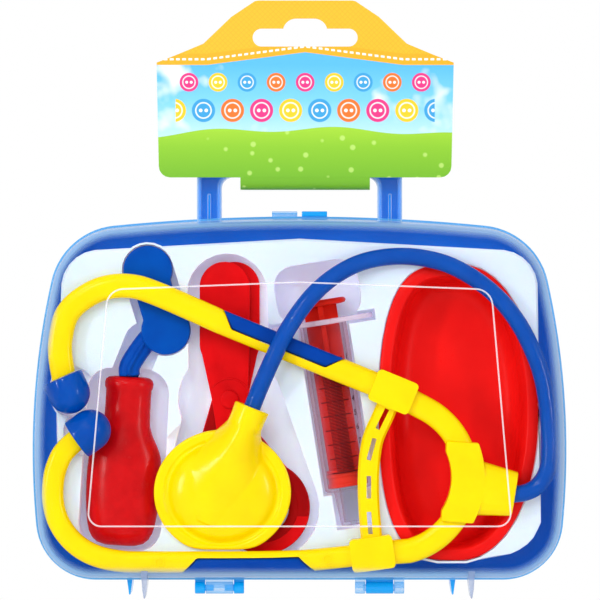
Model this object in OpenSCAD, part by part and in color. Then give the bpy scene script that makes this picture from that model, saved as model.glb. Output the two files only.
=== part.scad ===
// Toy doctor case: two hinged plastic shells, a formed tray and the toys that it holds.
// X runs to the right, Z up, and the front faces -Y. The shells part at y = 0,
// and the origin is under the middle of the case on the plane that its feet stand on.

/* [Case] */
// Width of the case across its rims
case_w = 240; // [236:0.5:250]
// Height of the rims' lower edge above the ground
case_bottom = 7; // [6.8:0.1:8]
// Height of the rims' upper edge above the ground
case_top = 170.3; // [169:0.1:178]
// Depth of one shell from the parting plane to its face
shell_d = 26; // [25.6:0.1:32]
// Wall thickness of the shells
shell_wall = 1.4; // [1:0.1:1.5]
// Radius of the long curve of each side
side_r = 350; // [300:5:420]
// Radius of the long curve of the top
top_r = 844; // [700:4:1100]
// Radius of the upper corners
top_corner_r = 32; // [28:0.5:36]
// Radius of the lower corners
bottom_corner_r = 27; // [22:0.5:32]
// Radius of the edge round each shell's face
face_edge_r = 12; // [8:0.5:12]
// How far the rim stands out past the wall
rim_out = 0.9; // [0.4:0.1:1]
// Thickness of the rim
rim_t = 2; // [1.4:0.1:2.6]
// Inward lean of the wall between the rim and the face edge
wall_draft = 0.8; // [0:0.1:0.9]

/* [Handle, hinges and feet] */
// Outer width of the handle
handle_w = 92; // [84:1:110]
// Width of a handle post
handle_post_w = 11; // [9:0.5:14]
// Height of the top of the handle above the ground
handle_top = 200.5; // [199:0.5:206]
// Height of the handle bar
handle_bar_h = 12.5; // [10:0.5:13]
// Depth of one handle half
handle_d = 9; // [7:0.5:12]
// Wall of the channel that each handle half is
handle_wall = 1.8; // [1.2:0.1:2.6]
// Distance of each hinge from the middle
hinge_x = 36; // [30:0.5:44]
// Height of the hinge axis above the ground
hinge_z = 3.3; // [3.1:0.05:3.4]
// Outer radius of a hinge knuckle
knuckle_r = 2.7; // [2.4:0.1:2.8]
// Width of the middle knuckle
knuckle_mid_w = 12.4; // [8:0.2:16]
// Width of an outer knuckle
knuckle_side_w = 4.6; // [3:0.2:6]
// Radius of the hinge pins
hinge_pin_r = 1.5; // [1.2:0.05:1.7]
// Width of a foot rib where it leaves the shell
foot_w = 3.3; // [2:0.1:5]
// Width of a latch tab
latch_w = 11.4; // [8:0.2:14]

/* [Header card] */
// Thickness of the card
card_t = 0.5; // [0.3:0.05:0.6]
// Width of the card's body
card_w = 131; // [125:1:140]
// Height of the card's ridge above the ground
card_top = 266.8; // [262:0.2:275]
// Width of the tab that wraps the handle bar
card_tab_w = 58; // [50:1:60]

/* [Tray] */
// Thickness of the formed sheet
tray_t = 0.9; // [0.6:0.1:1]
// Distance of the tray's front face from the parting plane, towards the lid
tray_face = 4.9; // [4.9:0.1:5.4]
// Gap between a toy and the tray recess that holds it
pocket_gap = 1; // [0.6:0.1:1.1]

/* [Stethoscope] */
// Radius of the chest piece
chest_r = 30.8; // [28:0.2:30.8]
// Width of the yellow arms
arm_w = 11; // [9:0.2:11]
// Thickness of the yellow arms
arm_t = 8; // [7:0.2:8]
// Radius of the hoop that joins the arms
hoop_r = 34.2; // [33:0.2:35]
// Diameter of the tube
tube_d = 7.7; // [7:0.1:7.8]
// Radius of an ear tip
tip_r = 9.4; // [8:0.1:9.6]

/* [Hammer] */
// Radius of the hammer's two discs
hammer_disc_r = 11; // [10:0.1:11.2]
// Thickness of the hammer's head
hammer_head_t = 13; // [9:0.5:14]
// Length of the hammer's handle
hammer_handle_l = 76; // [70:0.5:78]

/* [Scissors] */
// Thickness of one blade
blade_t = 3; // [2:0.1:3]
// Width of the closed blades
blades_w = 27; // [24:0.5:27]
// Distance from the pivot to the blade tip
blade_l = 62; // [56:0.5:62]
// Outer radius of the finger loop
finger_r = 20.9; // [19.5:0.1:21]
// Outer radius of the thumb loop
thumb_r = 16.5; // [15:0.1:17]
// Width of the loops' bands
loop_band = 5.6; // [4.6:0.1:6.5]
// Radius of the scissors' rivet
rivet_r = 2.2; // [1.6:0.1:3]

/* [Syringe] */
// Outer diameter of the barrel
barrel_d = 21.4; // [20:0.1:21.4]
// Length of the barrel from its flange to its shoulder
barrel_l = 77.5; // [74:0.5:78]
// Wall of the barrel
barrel_wall = 1.5; // [1:0.1:2]
// Length of the finger flange across the barrel
flange_l = 46; // [36:0.5:46]
// Diameter of the plunger's thumb disc
thumb_d = 24; // [18:0.5:24]

/* [Dish] */
// Width of the dish
dish_w = 70.8; // [66:0.2:71]
// Length of the dish
dish_l = 132; // [126:0.5:132]
// Depth of the dish
dish_d = 21.6; // [16:0.2:22]
// Width of the dish's flat rim
dish_rim = 5.5; // [3:0.5:8]
// Wall of the dish
dish_wall = 1.6; // [1.2:0.1:2.4]

/* [Hidden] */
$fn = 48;

blue = [0.13, 0.42, 0.85];
clear = [0.85, 0.93, 0.98, 0.45];
white = [0.94, 0.94, 0.96];
yellow = [0.98, 0.8, 0.1];
red = [0.78, 0.09, 0.07];
green = [0.55, 0.8, 0.2];

eps = 0.01;
mate_gap = 0.1;          // each rim stands back this far from the parting plane
run_gap = 0.06;          // radial gap of a pin or piston that turns or slides
seat_gap = 0.3;          // gap between a resting toy and what carries it
socket_gap = 0.1;        // radial gap of a tube or peg in its socket

// The widest place of the case and the centres of its corner arcs
side_z = 65;
side_c = [case_w/2 - side_r, side_z];
top_c = [0, case_top - top_r];

function dist(a, b) = norm(a - b);
function dir(a) = [cos(a), sin(a)];
function angle_of(v) = atan2(v[1], v[0]);
function arc(c, r, a0, a1, n) = [for (i = [0 : n]) c + r * dir(a0 + (a1 - a0) * i / n)];

// Centre of the arc that rounds the upper right corner, inside both long curves
function corner_top(rt) = let(
        r1 = top_r - rt, r2 = side_r - rt, d = dist(top_c, side_c),
        a = (r1*r1 - r2*r2 + d*d) / (2*d), h = sqrt(r1*r1 - a*a),
        u = (side_c - top_c) / d)
    top_c + a*u + h*[u[1], -u[0]];
function corner_bottom(rb) = let(z = case_bottom + rb)
    [side_c[0] + sqrt(pow(side_r - rb, 2) - pow(side_z - z, 2)), z];

// Outline of the case, drawn in by the given distance, anticlockwise from the bottom
function case_outline(inset) = let(
        k = corner_top(top_corner_r), b = corner_bottom(bottom_corner_r),
        a1 = angle_of(b - side_c), a2 = angle_of(k - side_c), a3 = angle_of(k - top_c),
        half = concat(
            arc(b, bottom_corner_r - inset, -90, a1, 6),
            arc(side_c, side_r - inset, a1/2, 0, 1),
            arc(side_c, side_r - inset, a2/3, 2*a2/3, 1),
            arc(k, top_corner_r - inset, a2, a3, 6),
            [for (i = [1 : 3]) top_c + (top_r - inset) * dir(a3 + (90 - a3)*i/3)]))
    concat(half, [for (i = [len(half) - 2 : -1 : 0]) [-half[i][0], half[i][1]]]);

// Closed skin over rings of equal count, with a flat cap at each end
module skin(rings) {
    n = len(rings[0]);
    m = len(rings);
    polyhedron(
        points = [for (r = rings) for (p = r) p],
        faces = concat(
            [[for (i = [0 : n - 1]) i]],
            [for (j = [0 : m - 2]) for (i = [0 : n - 1]) let(k = (i + 1) % n)
                each [[j*n + i, (j + 1)*n + i, (j + 1)*n + k],
                      [j*n + i, (j + 1)*n + k, j*n + k]]],
            [[for (i = [n - 1 : -1 : 0]) (m - 1)*n + i]]));
}

// Turns a drawing in X and Y into one in X and Z, from y0 on to y1
module slab(y0, y1) {
    translate([0, y1, 0]) rotate([90, 0, 0]) linear_extrude(y1 - y0) children();
}

// A cylinder along Y from y0 to y1
module disc(x, z, r, y0, y1) {
    translate([x, y1, z]) rotate([90, 0, 0]) cylinder(r = r, h = y1 - y0);
}

// Two circles and the bar between them, in the drawing plane
module capsule(a, b, r) {
    translate(a) circle(r);
    translate(b) circle(r);
    translate(a) rotate(angle_of(b - a)) translate([0, -r]) square([dist(a, b), 2*r]);
}

// The same forms with their arcs cut into short flats, for the recesses of the tray
module flat_capsule(a, b, r) {
    t = angle_of(b - a);
    polygon(concat(arc(b, r, t - 90, t + 90, 12), arc(a, r, t + 90, t + 270, 12)));
}
module flat_round_rect(x0, z0, x1, z1, r) {
    polygon(concat(arc([x1 - r, z0 + r], r, -90, 0, 5), arc([x1 - r, z1 - r], r, 0, 90, 5),
                   arc([x0 + r, z1 - r], r, 90, 180, 5), arc([x0 + r, z0 + r], r, 180, 270, 5)));
}
module flat_circle(c, r) { polygon(arc(c, r, 0, 350, 35)); }

module round_rect(x0, z0, x1, z1, r) {
    translate([x0 + r, z0]) square([x1 - x0 - 2*r, z1 - z0]);
    translate([x0, z0 + r]) square([x1 - x0, z1 - z0 - 2*r]);
    for (x = [x0 + r, x1 - r]) for (z = [z0 + r, z1 - r]) translate([x, z]) circle(r);
}

// Smooth curve through chosen points: a Catmull-Rom spline with n steps to a stretch
function spline_at(p0, p1, p2, p3, t) = 0.5 * (2*p1 + (p2 - p0)*t
    + (2*p0 - 5*p1 + 4*p2 - p3)*t*t + (3*p1 - p0 - 3*p2 + p3)*t*t*t);
function spline(p, n) = let(m = len(p) - 1) concat(
    [for (i = [0 : m - 1]) for (j = [0 : n - 1])
        spline_at(i == 0 ? 2*p[0] - p[1] : p[i - 1], p[i], p[i + 1],
                  i == m - 1 ? 2*p[m] - p[m - 1] : p[i + 2], j/n)],
    [p[m]]);
function unit(v) = v / norm(v);
function tangent(p, i) = unit(p[min(i + 1, len(p) - 1)] - p[max(i - 1, 0)]);

// Section of an arm: an oval with flattened sides, w across the drawing plane and t deep
function oval(w, t, n) = [for (i = [0 : n - 1]) let(a = 360*i/n, c = cos(a), s = sin(a))
    [w/2 * sign(c) * pow(abs(c), 0.7), t/2 * sign(s) * pow(abs(s), 0.7)]];

// Sweeps a section along points (x, z) that lie in one plane at depth y
module sweep_flat(path, y, w, t, n = 12) {
    p = [for (q = path) [q[0], q[1]]];
    skin([for (i = [0 : len(p) - 1]) let(u = tangent(p, i))
        [for (s = oval(w, t, n)) [p[i][0] - u[1]*s[0], y - s[1], p[i][1] + u[0]*s[0]]]]);
}

// Shells
face_c = rim_out + wall_draft + face_edge_r;      // inset where the flat face begins
inner_edge_r = face_edge_r - shell_wall;
edge_d = shell_d - face_edge_r;
function ring(inset, d) = [for (p = case_outline(inset)) [p[0], -d, p[1]]];
function edge_rings(r, a0, a1, n) = [for (i = [0 : n]) let(a = a0 + (a1 - a0)*i/n)
    ring(face_c - r*cos(a), edge_d + r*sin(a))];

module shell_body() {
    skin(concat(
        [ring(face_c + 8, shell_d - shell_wall)],
        edge_rings(inner_edge_r, 90, 0, 4),
        [ring(rim_out + shell_wall, mate_gap), ring(0, mate_gap), ring(0, rim_t),
         ring(rim_out, rim_t + 0.6)],
        edge_rings(face_edge_r, 0, 90, 5),
        [ring(face_c + 8, shell_d)]));
}

// Bead round the window of the face: a rounded trapezoid line that stands out a little
bead_w = 1;
bead_out = 0.5;
module window_outline(grow) {
    polygon(concat(
        arc([88, 38], 6 + grow, -90, 0, 3), arc([78, 130], 8 + grow, 5, 80, 3),
        [[0, 141 + grow]],
        arc([-78, 130], 8 + grow, 100, 175, 3), arc([-88, 38], 6 + grow, 180, 270, 3)));
}
module window_bead() {
    slab(-shell_d - bead_out, -shell_d + 0.3)
        difference() { window_outline(0); window_outline(-bead_w); }
}

// Foot rib: V-tapered across, and as long as the shell is deep
foot_tip_w = 0.8;
module foot(x) {
    top = case_bottom + face_c;
    intersection() {
        translate([x, 0, 0]) slab(-shell_d, 0)
            polygon([[-foot_tip_w/2, 0], [foot_tip_w/2, 0], [foot_w/2, top], [-foot_w/2, top]]);
        translate([x - foot_w, 0, 0]) rotate([90, 0, 90]) linear_extrude(2*foot_w)
            polygon([[-2, 0], [4 - shell_d, 0], [4 - shell_d, case_bottom + 5.4],
                     [-edge_d, case_bottom + rim_out + wall_draft + shell_wall/2],
                     [-2, case_bottom + rim_out + shell_wall/2]]);
    }
}
foot_x = [76.5, -69];

module knuckle(x, w) {
    translate([x - w/2, 0, hinge_z]) rotate([0, 90, 0]) cylinder(r = knuckle_r, h = w);
    translate([x - w/2, -knuckle_r, hinge_z]) cube([w, knuckle_r - mate_gap,
        case_bottom + rim_out + shell_wall/2 - hinge_z]);
}
knuckle_gap = 0.25;
knuckle_side_x = knuckle_mid_w/2 + knuckle_gap + knuckle_side_w/2;
pin_l = 4;
module hinge_part() {
    difference() {
        knuckle(-hinge_x, knuckle_mid_w);
        translate([-hinge_x - knuckle_mid_w, 0, hinge_z]) rotate([0, 90, 0])
            cylinder(r = hinge_pin_r + run_gap, h = 2*knuckle_mid_w);
    }
    for (s = [-1, 1]) {
        knuckle(hinge_x + s*knuckle_side_x, knuckle_side_w);
        translate([hinge_x + s*(knuckle_mid_w/2 + knuckle_gap + 1), 0, hinge_z])
            rotate([0, -s*90, 0]) cylinder(r = hinge_pin_r, h = pin_l + 1);
    }
}

// Handle half: a channel open towards the other half, with ribs at the feet of its posts
handle_mid_z = handle_top - handle_bar_h;
handle_foot_z = case_top - 3;
bar_back = 0.6;          // the bar stands back to leave room for the card between the halves
module handle_outline(grow) {
    difference() {
        round_rect(-handle_w/2 + grow, handle_foot_z - 12, handle_w/2 - grow,
                   handle_top - grow, 9 - grow);
        round_rect(-handle_w/2 + handle_post_w - grow, handle_foot_z - 13,
                   handle_w/2 - handle_post_w + grow, handle_mid_z + grow, 5 + grow);
    }
}
module handle_half() {
    difference() {
        union() {
            difference() {
                slab(-handle_d, -mate_gap) handle_outline(0);
                slab(-handle_d + handle_wall, eps) handle_outline(handle_wall);
            }
            for (s = [-1, 1]) translate([s*(handle_w - handle_post_w)/2 - 0.7,
                -handle_d + 0.5, handle_foot_z]) cube([1.4, handle_d - 2, 13]);
        }
        translate([-handle_w, -handle_d - 1, 0]) cube([2*handle_w, 2*handle_d, handle_foot_z]);
        translate([-handle_w/2 + handle_post_w + 2, -bar_back, handle_mid_z - 3])
            cube([handle_w - 2*handle_post_w - 4, 2, 30]);
    }
}

// Latch tab: rises from its own rim and reaches over the other one
latch_t = 1.3;
latch_reach = 3.4;
latch_x = -1 - latch_w/2;
module latch_tab() {
    lip = case_top + 0.15;
    translate([latch_x - latch_w/2, -rim_t, case_top - 1]) cube([latch_w, rim_t - mate_gap, 2.4]);
    translate([latch_x - latch_w/2, -rim_t, lip + 0.85]) cube([latch_w, rim_t + latch_reach, latch_t]);
    translate([latch_x - latch_w/2, latch_reach - 1, lip]) cube([latch_w, 1, 1.2]);
}

module shell_half() {
    shell_body();
    window_bead();
    for (x = foot_x) foot(x);
    hinge_part();
    handle_half();
    latch_tab();
}
module front_lid() { color(clear) shell_half(); }
module back_shell() { color(blue) rotate([0, 0, 180]) shell_half(); }

// The toys are drawn for a case 240 wide and 163.3 high, and follow it when it changes
fit = min(case_w/240, (case_top - case_bottom)/163.3);
module fitted() {
    translate([0, -tray_face, case_bottom]) scale(fit) translate([0, tray_face, -case_bottom])
        children();
}

// Places of the toys, as (x, z) in the plane of the parting
chest_c = [-34.7, 51.3];
spout_end = [-21.2, 84.8];
hammer_upper = [-68.2, 146.2];
hammer_lower = [-60.1, 119.2];
hammer_collar = [-76.7, 98];
hammer_tilt = 3.4;
pivot_c = [-31.5, 88];
finger_c = [15.3, -48.8];        // the finger loop's centre, from the pivot
thumb_c = [9.5, -46];            // the thumb loop's, from the pivot towards the other side
barrel_top = [10.1, 123.8];
barrel_tilt = 9;
dish_c = [71.4, 82.3];

// Depths, from the parting plane towards the back
toy_front = -tray_face + seat_gap;
arm_y = -tray_face - seat_gap - arm_t/2;
chest_back = 1;
scissor_front = chest_back + seat_gap;
blade_gap = 0.2;
barrel_y = toy_front + barrel_d/2 + 0.1;
hammer_head_y = toy_front + hammer_head_t/2;
hammer_handle_y = toy_front + 10.5;
tip_y = -11.4;

// Dish outline: squarer on its left side than on its right
function dish_at(a, w, l) = let(c = cos(a), s = sin(a), n = c > 0 ? 2.1 : 3.6)
    dish_c + [w/2 * sign(c) * pow(abs(c), 2/n), l/2 * sign(s) * pow(abs(s), 2/(c > 0 ? 2.1 : 2.4))];
function dish_outline(grow, n = 36) = [for (i = [0 : n - 1])
    dish_at(360*i/n + 5, dish_w + 2*grow, dish_l + 2*grow)];
function dish_ring(inset, y) = [for (p = dish_outline(-inset)) [p[0], y, p[1]]];
dish_front = toy_front;
dish_back = dish_front + dish_d;
dish_fillet = 11;
module kidney_dish() {
    fitted() color(red) skin(concat(
        [for (i = [4 : -1 : 0]) let(a = 90*i/4)
            dish_ring(dish_rim + dish_fillet*(1 - cos(a)) + 0.4, dish_back - dish_fillet*(1 - sin(a)))],
        [dish_ring(dish_rim - dish_wall, dish_front + dish_wall + 0.9),
         dish_ring(0, dish_front + dish_wall + 0.6), dish_ring(0, dish_front + 0.8),
         dish_ring(0.6, dish_front), dish_ring(dish_rim - 1, dish_front),
         dish_ring(dish_rim, dish_front + 1)],
        [for (i = [0 : 4]) let(a = 90*i/4, r = dish_fillet - dish_wall)
            dish_ring(dish_rim + dish_fillet - r*cos(a) + 0.4, dish_back - dish_fillet + r*sin(a))]));
}

// Tray outline and recesses. Each recess is drawn at any growth, so its wall follows it.
tray_half_w = case_w/2 - 6;
tray_bottom = case_bottom + 9;
tray_top = case_top - 10;
tray_skirt_back = 13;
function tray_outline(inset) = let(r = 17, x = tray_half_w - r)
    concat(arc([x - 1, tray_bottom + r], r - inset, -90, -4, 5),
           arc([x - 7, tray_top - 5 - r], r - inset, 6, 84, 5),
           [[0, tray_top - inset]],
           [for (q = arc([x - 7, tray_top - 5 - r], r - inset, 84, 6, 5)) [-q[0], q[1]]],
           [for (q = arc([x - 1, tray_bottom + r], r - inset, -4, -90, 5)) [-q[0], q[1]]]);
function tray_ring(inset, y) = [for (p = tray_outline(inset)) [p[0], y, p[1]]];

module in_hammer() {
    translate(hammer_collar) rotate(-hammer_tilt) children();
}
module hammer_head_pocket(grow) { flat_capsule(hammer_upper, hammer_lower, hammer_disc_r + 0.6 + grow); }
module hammer_neck_pocket(grow) { flat_capsule(hammer_lower + [-10, -5], hammer_collar, 8.5 + grow); }
module hammer_handle_pocket(grow) {
    in_hammer() flat_round_rect(-18.6 - grow, -hammer_handle_l - 2 - grow, 18.6 + grow, 4 + grow, 11 + grow);
}
module scissor_pocket(grow) {
    flat_capsule(pivot_c + [0, 6], pivot_c + [-1, blade_l - blades_w/2 - 1], blades_w/2 + 4.6 + grow);
    flat_capsule(pivot_c, pivot_c + finger_c + [2, 0], finger_r + 2.2 + grow);
    flat_capsule(pivot_c, pivot_c + [-thumb_c[0] - 2, thumb_c[1]], thumb_r + 2.2 + grow);
}
module chest_pocket(grow) { flat_circle(chest_c, chest_r + pocket_gap + grow); }
module in_barrel() { translate(barrel_top) rotate(barrel_tilt) children(); }
travel = 14;
thumb_z = 6.2;           // height of the thumb disc's lower face above the flange
thumb_t = 2.8;
nozzle_l = 16;
module barrel_pocket(grow) {
    r = barrel_d/2 + pocket_gap + grow;
    in_barrel() {
        translate([-r, -barrel_l - pocket_gap - grow]) square([2*r, barrel_l + 2]);
        translate([-8 - grow, -barrel_l - nozzle_l - pocket_gap - grow]) square([16 + 2*grow, nozzle_l + 2]);
        translate([-flange_l/2 - pocket_gap - grow, -3.6 - grow])
            square([flange_l + 2*pocket_gap + 2*grow, 5 + 2*grow]);
        flat_round_rect(-thumb_d/2 - 7 - grow, -1 - grow, thumb_d/2 + 7 + grow,
                   thumb_z + thumb_t + travel + 3 + grow, 9 + grow);
    }
}
module dish_pocket(grow) { polygon(dish_outline(pocket_gap + grow)); }
tip_upper = [-103, 92];
tip_lower = [-94.8, 73.7];
module tip_pocket(grow) {
    flat_circle(tip_upper, tip_r + 1.8 + grow);
    flat_circle(tip_lower, tip_r + 1.8 + grow);
}

hammer_floor = hammer_handle_y + 9.5 + seat_gap;
head_floor = toy_front + hammer_head_t + seat_gap;
scissor_floor = scissor_front + 2*blade_t + blade_gap + seat_gap;
chest_floor = chest_back + seat_gap/2;
barrel_floor = barrel_y + max(thumb_d, barrel_d)/2 + seat_gap;
dish_floor = dish_back + seat_gap;
tip_floor = tip_y + tip_r + seat_gap;

module tray() {
    color(white) difference() {
        union() {
            tray_body();
            fitted() {
                slab(-tray_face, head_floor + tray_t) {
                    hammer_head_pocket(tray_t);
                    hammer_neck_pocket(tray_t);
                }
                slab(-tray_face, hammer_floor + tray_t) hammer_handle_pocket(tray_t);
                slab(-tray_face, scissor_floor + tray_t) scissor_pocket(tray_t);
                slab(-tray_face, chest_floor + tray_t) chest_pocket(tray_t);
                slab(-tray_face, barrel_floor + tray_t) barrel_pocket(tray_t);
                slab(-tray_face, dish_floor + tray_t) dish_pocket(tray_t);
                slab(-tray_face, tip_floor + tray_t) tip_pocket(tray_t);
            }
        }
        fitted() {
            slab(-tray_face - 1, head_floor) { hammer_head_pocket(0); hammer_neck_pocket(0); }
            slab(-tray_face - 1, hammer_floor) hammer_handle_pocket(0);
            slab(-tray_face - 1, scissor_floor) scissor_pocket(0);
            slab(-tray_face - 1, chest_floor) chest_pocket(0);
            slab(-tray_face - 1, barrel_floor) barrel_pocket(0);
            slab(-tray_face - 1, dish_floor) dish_pocket(0);
            slab(-tray_face - 1, tip_floor) tip_pocket(0);
        }
    }
}
module tray_body() {
    skin([tray_ring(8, tray_t - tray_face), tray_ring(tray_t + 1, tray_t - tray_face),
          tray_ring(tray_t + 0.4, 1), tray_ring(tray_t + 2.5, tray_skirt_back),
          tray_ring(2.5, tray_skirt_back), tray_ring(0.4, 1),
          tray_ring(0, -tray_face + 1), tray_ring(1, -tray_face), tray_ring(8, -tray_face)]);
}

// Header card: a house-shaped panel with a hang slot, and a tab that wraps the handle bar
card_x = 2.5;
card_front = -handle_d - 0.3 - card_t;
eaves_z = 238;
card_bottom = 187.6;
card_r = 5;
roof_half = 21;
module card_outline() {
    h = card_w/2;
    polygon(concat(
        arc([h - card_r, card_bottom + card_r], card_r, -90, 0, 4),
        [[h + 1, eaves_z + 1], [h - 8, eaves_z + 4.5], [h - 20, eaves_z + 9.5],
         [roof_half + 12, eaves_z + 21.5]],
        arc([roof_half, card_top - 4], 4, 45, 90, 2), arc([-roof_half, card_top - 4], 4, 90, 135, 2),
        [[-roof_half - 12, eaves_z + 21.5], [20 - h, eaves_z + 9.5], [8 - h, eaves_z + 4.5],
         [-h - 1, eaves_z + 1]],
        arc([card_r - h, card_bottom + card_r], card_r, 180, 270, 4)));
}
slot_z = 250.2;
slot_h = 8;
slot_half = 23.5;
module hang_slot() {
    capsule([-slot_half + slot_h/2, slot_z], [slot_half - slot_h/2, slot_z], slot_h/2);
    capsule([-4, slot_z + 2.5], [4, slot_z + 2.5], 6);
}
// Side view of the tab: down the front, under the bar, up between the halves, over to the card
bar_mid_y = -handle_d/2;
function tab_path(o) = concat(
    [[card_front + card_t/2 - o, card_bottom + 2]],
    arc([bar_mid_y - 0.25, handle_mid_z - 1], 4.65 + o, 180, 360, 8),
    [[-0.35 + o, handle_top + 2], [card_front + card_t + 0.45 + o, handle_top + 12],
     [card_front + card_t + 0.45 + o, handle_top + 22]]);
module card_tab() {
    path = concat(tab_path(card_t/2), [for (i = [len(tab_path(0)) - 1 : -1 : 0]) tab_path(-card_t/2)[i]]);
    translate([card_x - card_tab_w/2, 0, 0]) rotate([90, 0, 90]) linear_extrude(card_tab_w) polygon(path);
}
module header_card() {
    color(green) {
        translate([card_x, 0, 0]) slab(card_front, card_front + card_t)
            difference() { card_outline(); hang_slot(); }
        card_tab();
    }
}

// Stethoscope
sleeve_upper = [41.9, 91.7];
sleeve_lower = [32.5, 19.4];
sleeve_tilt = [-22.5, 8];
hoop_c = [40.7, 53.6];
upper_path = spline([[-104.9, 94.6], [-107.2, 109], [-106.4, 119], [-103.5, 127.2], [-96.5, 133.8],
                     [-87, 138.2], [-76, 139], [-64, 135.6], [-35, 122.9]], 4);
lower_path = spline([[-97.4, 72.3], [-104.4, 66], [-107.6, 61], [-110, 53], [-110.3, 42.5], [-107.4, 32.6],
                     [-101, 24.2], [-92, 18.6], [-80, 15.8], [-65, 15.4], [-22, 15.4], [2, 16]], 4);
strip_w = 7;
strip_gap = 0.15;

// A strip's outline on a straight arm of width w from a to b: its ends lean outwards
strip_lean = 0.93;
function strip_corners(a, b, side, w, gap) = let (
    u = unit(b - a), v = [-u[1], u[0]] * side, n = dist(a, b),
    t0 = w/2 - strip_w + gap, t1 = w/2 + 1,
    s0 = gap*(1.4 - strip_lean), s1 = gap*1.4 - (strip_w + 1)*strip_lean)
    [a + u*s0 + v*t0, a + u*s1 + v*t1, a + u*(n - s1) + v*t1, a + u*(n - s0) + v*t0];
module strip_cut(a, b, side, w) {
    slab(arm_y - arm_t/2 - 1, arm_y + arm_t/2 + 1) polygon(strip_corners(a, b, side, w, 0));
}
upper_a = [-30, 120.9];
upper_b = [12, 103.9];
lower_a = [-46, 15.3];
lower_b = [-0.3, 15.7];
arm_end_gap = 1.4;       // gap between an arm's end and the hoop's, inside the sleeve
module upper_arm_solid(w, t) {
    sweep_flat(concat(upper_path, [[-20, 116.8], [0, 108.7], sleeve_upper]), arm_y, w, t);
}
lower_arm_w = arm_w - 1.2;     // slimmer, to run between the chest piece and the wall
module lower_arm_solid(w, t) {
    sweep_flat(concat(lower_path, [[20, 17.8], sleeve_lower]), arm_y, w, t);
}
module ear_arm_upper() {
    fitted() color(yellow) {
        difference() {
            upper_arm_solid(arm_w, arm_t);
            strip_cut(upper_a, upper_b, 1, arm_w);
            tip_cut(tip_base_upper, tip_axis_upper);
        }
        peg(tip_base_upper, tip_axis_upper);
    }
}
module ear_arm_lower() {
    fitted() color(yellow) {
        difference() {
            lower_arm_solid(lower_arm_w, arm_t);
            strip_cut(lower_a, lower_b, -1, lower_arm_w);
            tip_cut(tip_base_lower, tip_axis_lower);
        }
        peg(tip_base_lower, tip_axis_lower);
    }
}
module strip(a, b, side, w) {
    u = unit(b - a);
    v = [-u[1], u[0]] * side;
    m = w/2 - strip_w/2;
    intersection() {
        sweep_flat([a - u*(strip_w + 1) + v*m, b + u*(strip_w + 1) + v*m], arm_y, strip_w - 2*strip_gap,
                   arm_t - 1, 12);
        slab(arm_y - arm_t, arm_y + arm_t) polygon(strip_corners(a, b, side, w, strip_gap));
    }
}
module arm_strip_upper() { fitted() color(blue) strip(upper_a, upper_b, 1, arm_w); }
module arm_strip_lower() { fitted() color(blue) strip(lower_a, lower_b, -1, lower_arm_w); }

// Ear tips: domes on pegs at the arms' ends
peg_r = 2.5;
peg_l = 6;
peg_y = -10.2;
tip_side = 7.6;          // height of a tip's straight side, below its dome
tip_h = tip_side + tip_r;
tip_base_upper = [-106.3, 98.4];
tip_gap = 0.3;           // gap between a tip's rim and its arm, which its peg bridges
tip_axis_upper = -65.8;
tip_base_lower = [-100.1, 69.9];
tip_axis_lower = 35.3;
module peg(c, a) {
    translate([c[0], peg_y, c[1]]) rotate([0, 90 - a, 0])
        translate([0, 0, -3]) cylinder(r = peg_r, h = peg_l + 3);
}
module tip_cut(c, a) {
    translate([c[0], arm_y, c[1]]) rotate([0, 90 - a, 0]) translate([-12, -12, 0]) cube([24, 24, 12]);
}
module ear_tip(c, a) {
    fitted() color(blue) translate([c[0], tip_y, c[1]]) rotate([0, 90 - a, 0]) translate([0, 0, tip_gap])
        difference() {
            rotate_extrude() polygon(concat(
                [[0, 0], [tip_r - 1, 0], [tip_r, 1]],
                [for (i = [0 : 8]) [tip_r*cos(90*i/8), tip_side + (tip_h - tip_side)*sin(90*i/8)]]));
            translate([0, peg_y - tip_y, -1]) cylinder(r = peg_r + socket_gap, h = peg_l + 1);
        }
}
module ear_tip_upper() { ear_tip(tip_base_upper, tip_axis_upper); }
module ear_tip_lower() { ear_tip(tip_base_lower, tip_axis_lower); }

// Hoop: continues both arms round the right side, inside the sleeves
hoop_path = concat([sleeve_upper + arm_end_gap*dir(-28)],
    arc(hoop_c, hoop_r, 62, -76, 14), [sleeve_lower + [arm_end_gap, 0]]);
module hoop() { fitted() color(yellow) sweep_flat(hoop_path, arm_y, arm_w, arm_t); }

// Headband: a slotted spring strip between the two sleeves, bulging to the left
sleeve_l = 19.4;
sleeve_h = 14.8;
sleeve_t = 10.4;
sleeve_y = -tray_face - seat_gap - sleeve_t/2;
band_w = 9.6;
band_path = spline([sleeve_upper + [-1.5, -4], [37.2, 80.5], [32.6, 69.5], [30.9, 55], [31.1, 40],
                    sleeve_lower + [0, 4]], 4);
module sleeve(c, a) {
    translate([c[0], 0, c[1]]) rotate([0, -a, 0]) slab(sleeve_y - sleeve_t/2, sleeve_y + sleeve_t/2)
        round_rect(-sleeve_l/2, -sleeve_h/2, sleeve_l/2, sleeve_h/2, 2);
}
band_slots = [[37, 79.5, 64], [32.2, 66, 75], [31, 49, 90], [31.4, 33, 94]];
module headband() {
    fitted() color(yellow) difference() {
        union() {
            difference() {
                union() {
                    sleeve(sleeve_upper, sleeve_tilt[0]);
                    sleeve(sleeve_lower, sleeve_tilt[1]);
                    sweep_flat(band_path, arm_y, band_w, 5, 8);
                }
                upper_arm_solid(arm_w + 0.4, arm_t + 0.2);
                lower_arm_solid(lower_arm_w + 0.4, arm_t + 0.2);
                sweep_flat(hoop_path, arm_y, arm_w + 0.4, arm_t + 0.2);
            }
        }
        for (s = band_slots) translate([s[0], arm_y, s[1]]) rotate([0, -s[2], 0])
            translate([-5, -6, -1]) cube([10, 12, 2]);
    }
}

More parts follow.
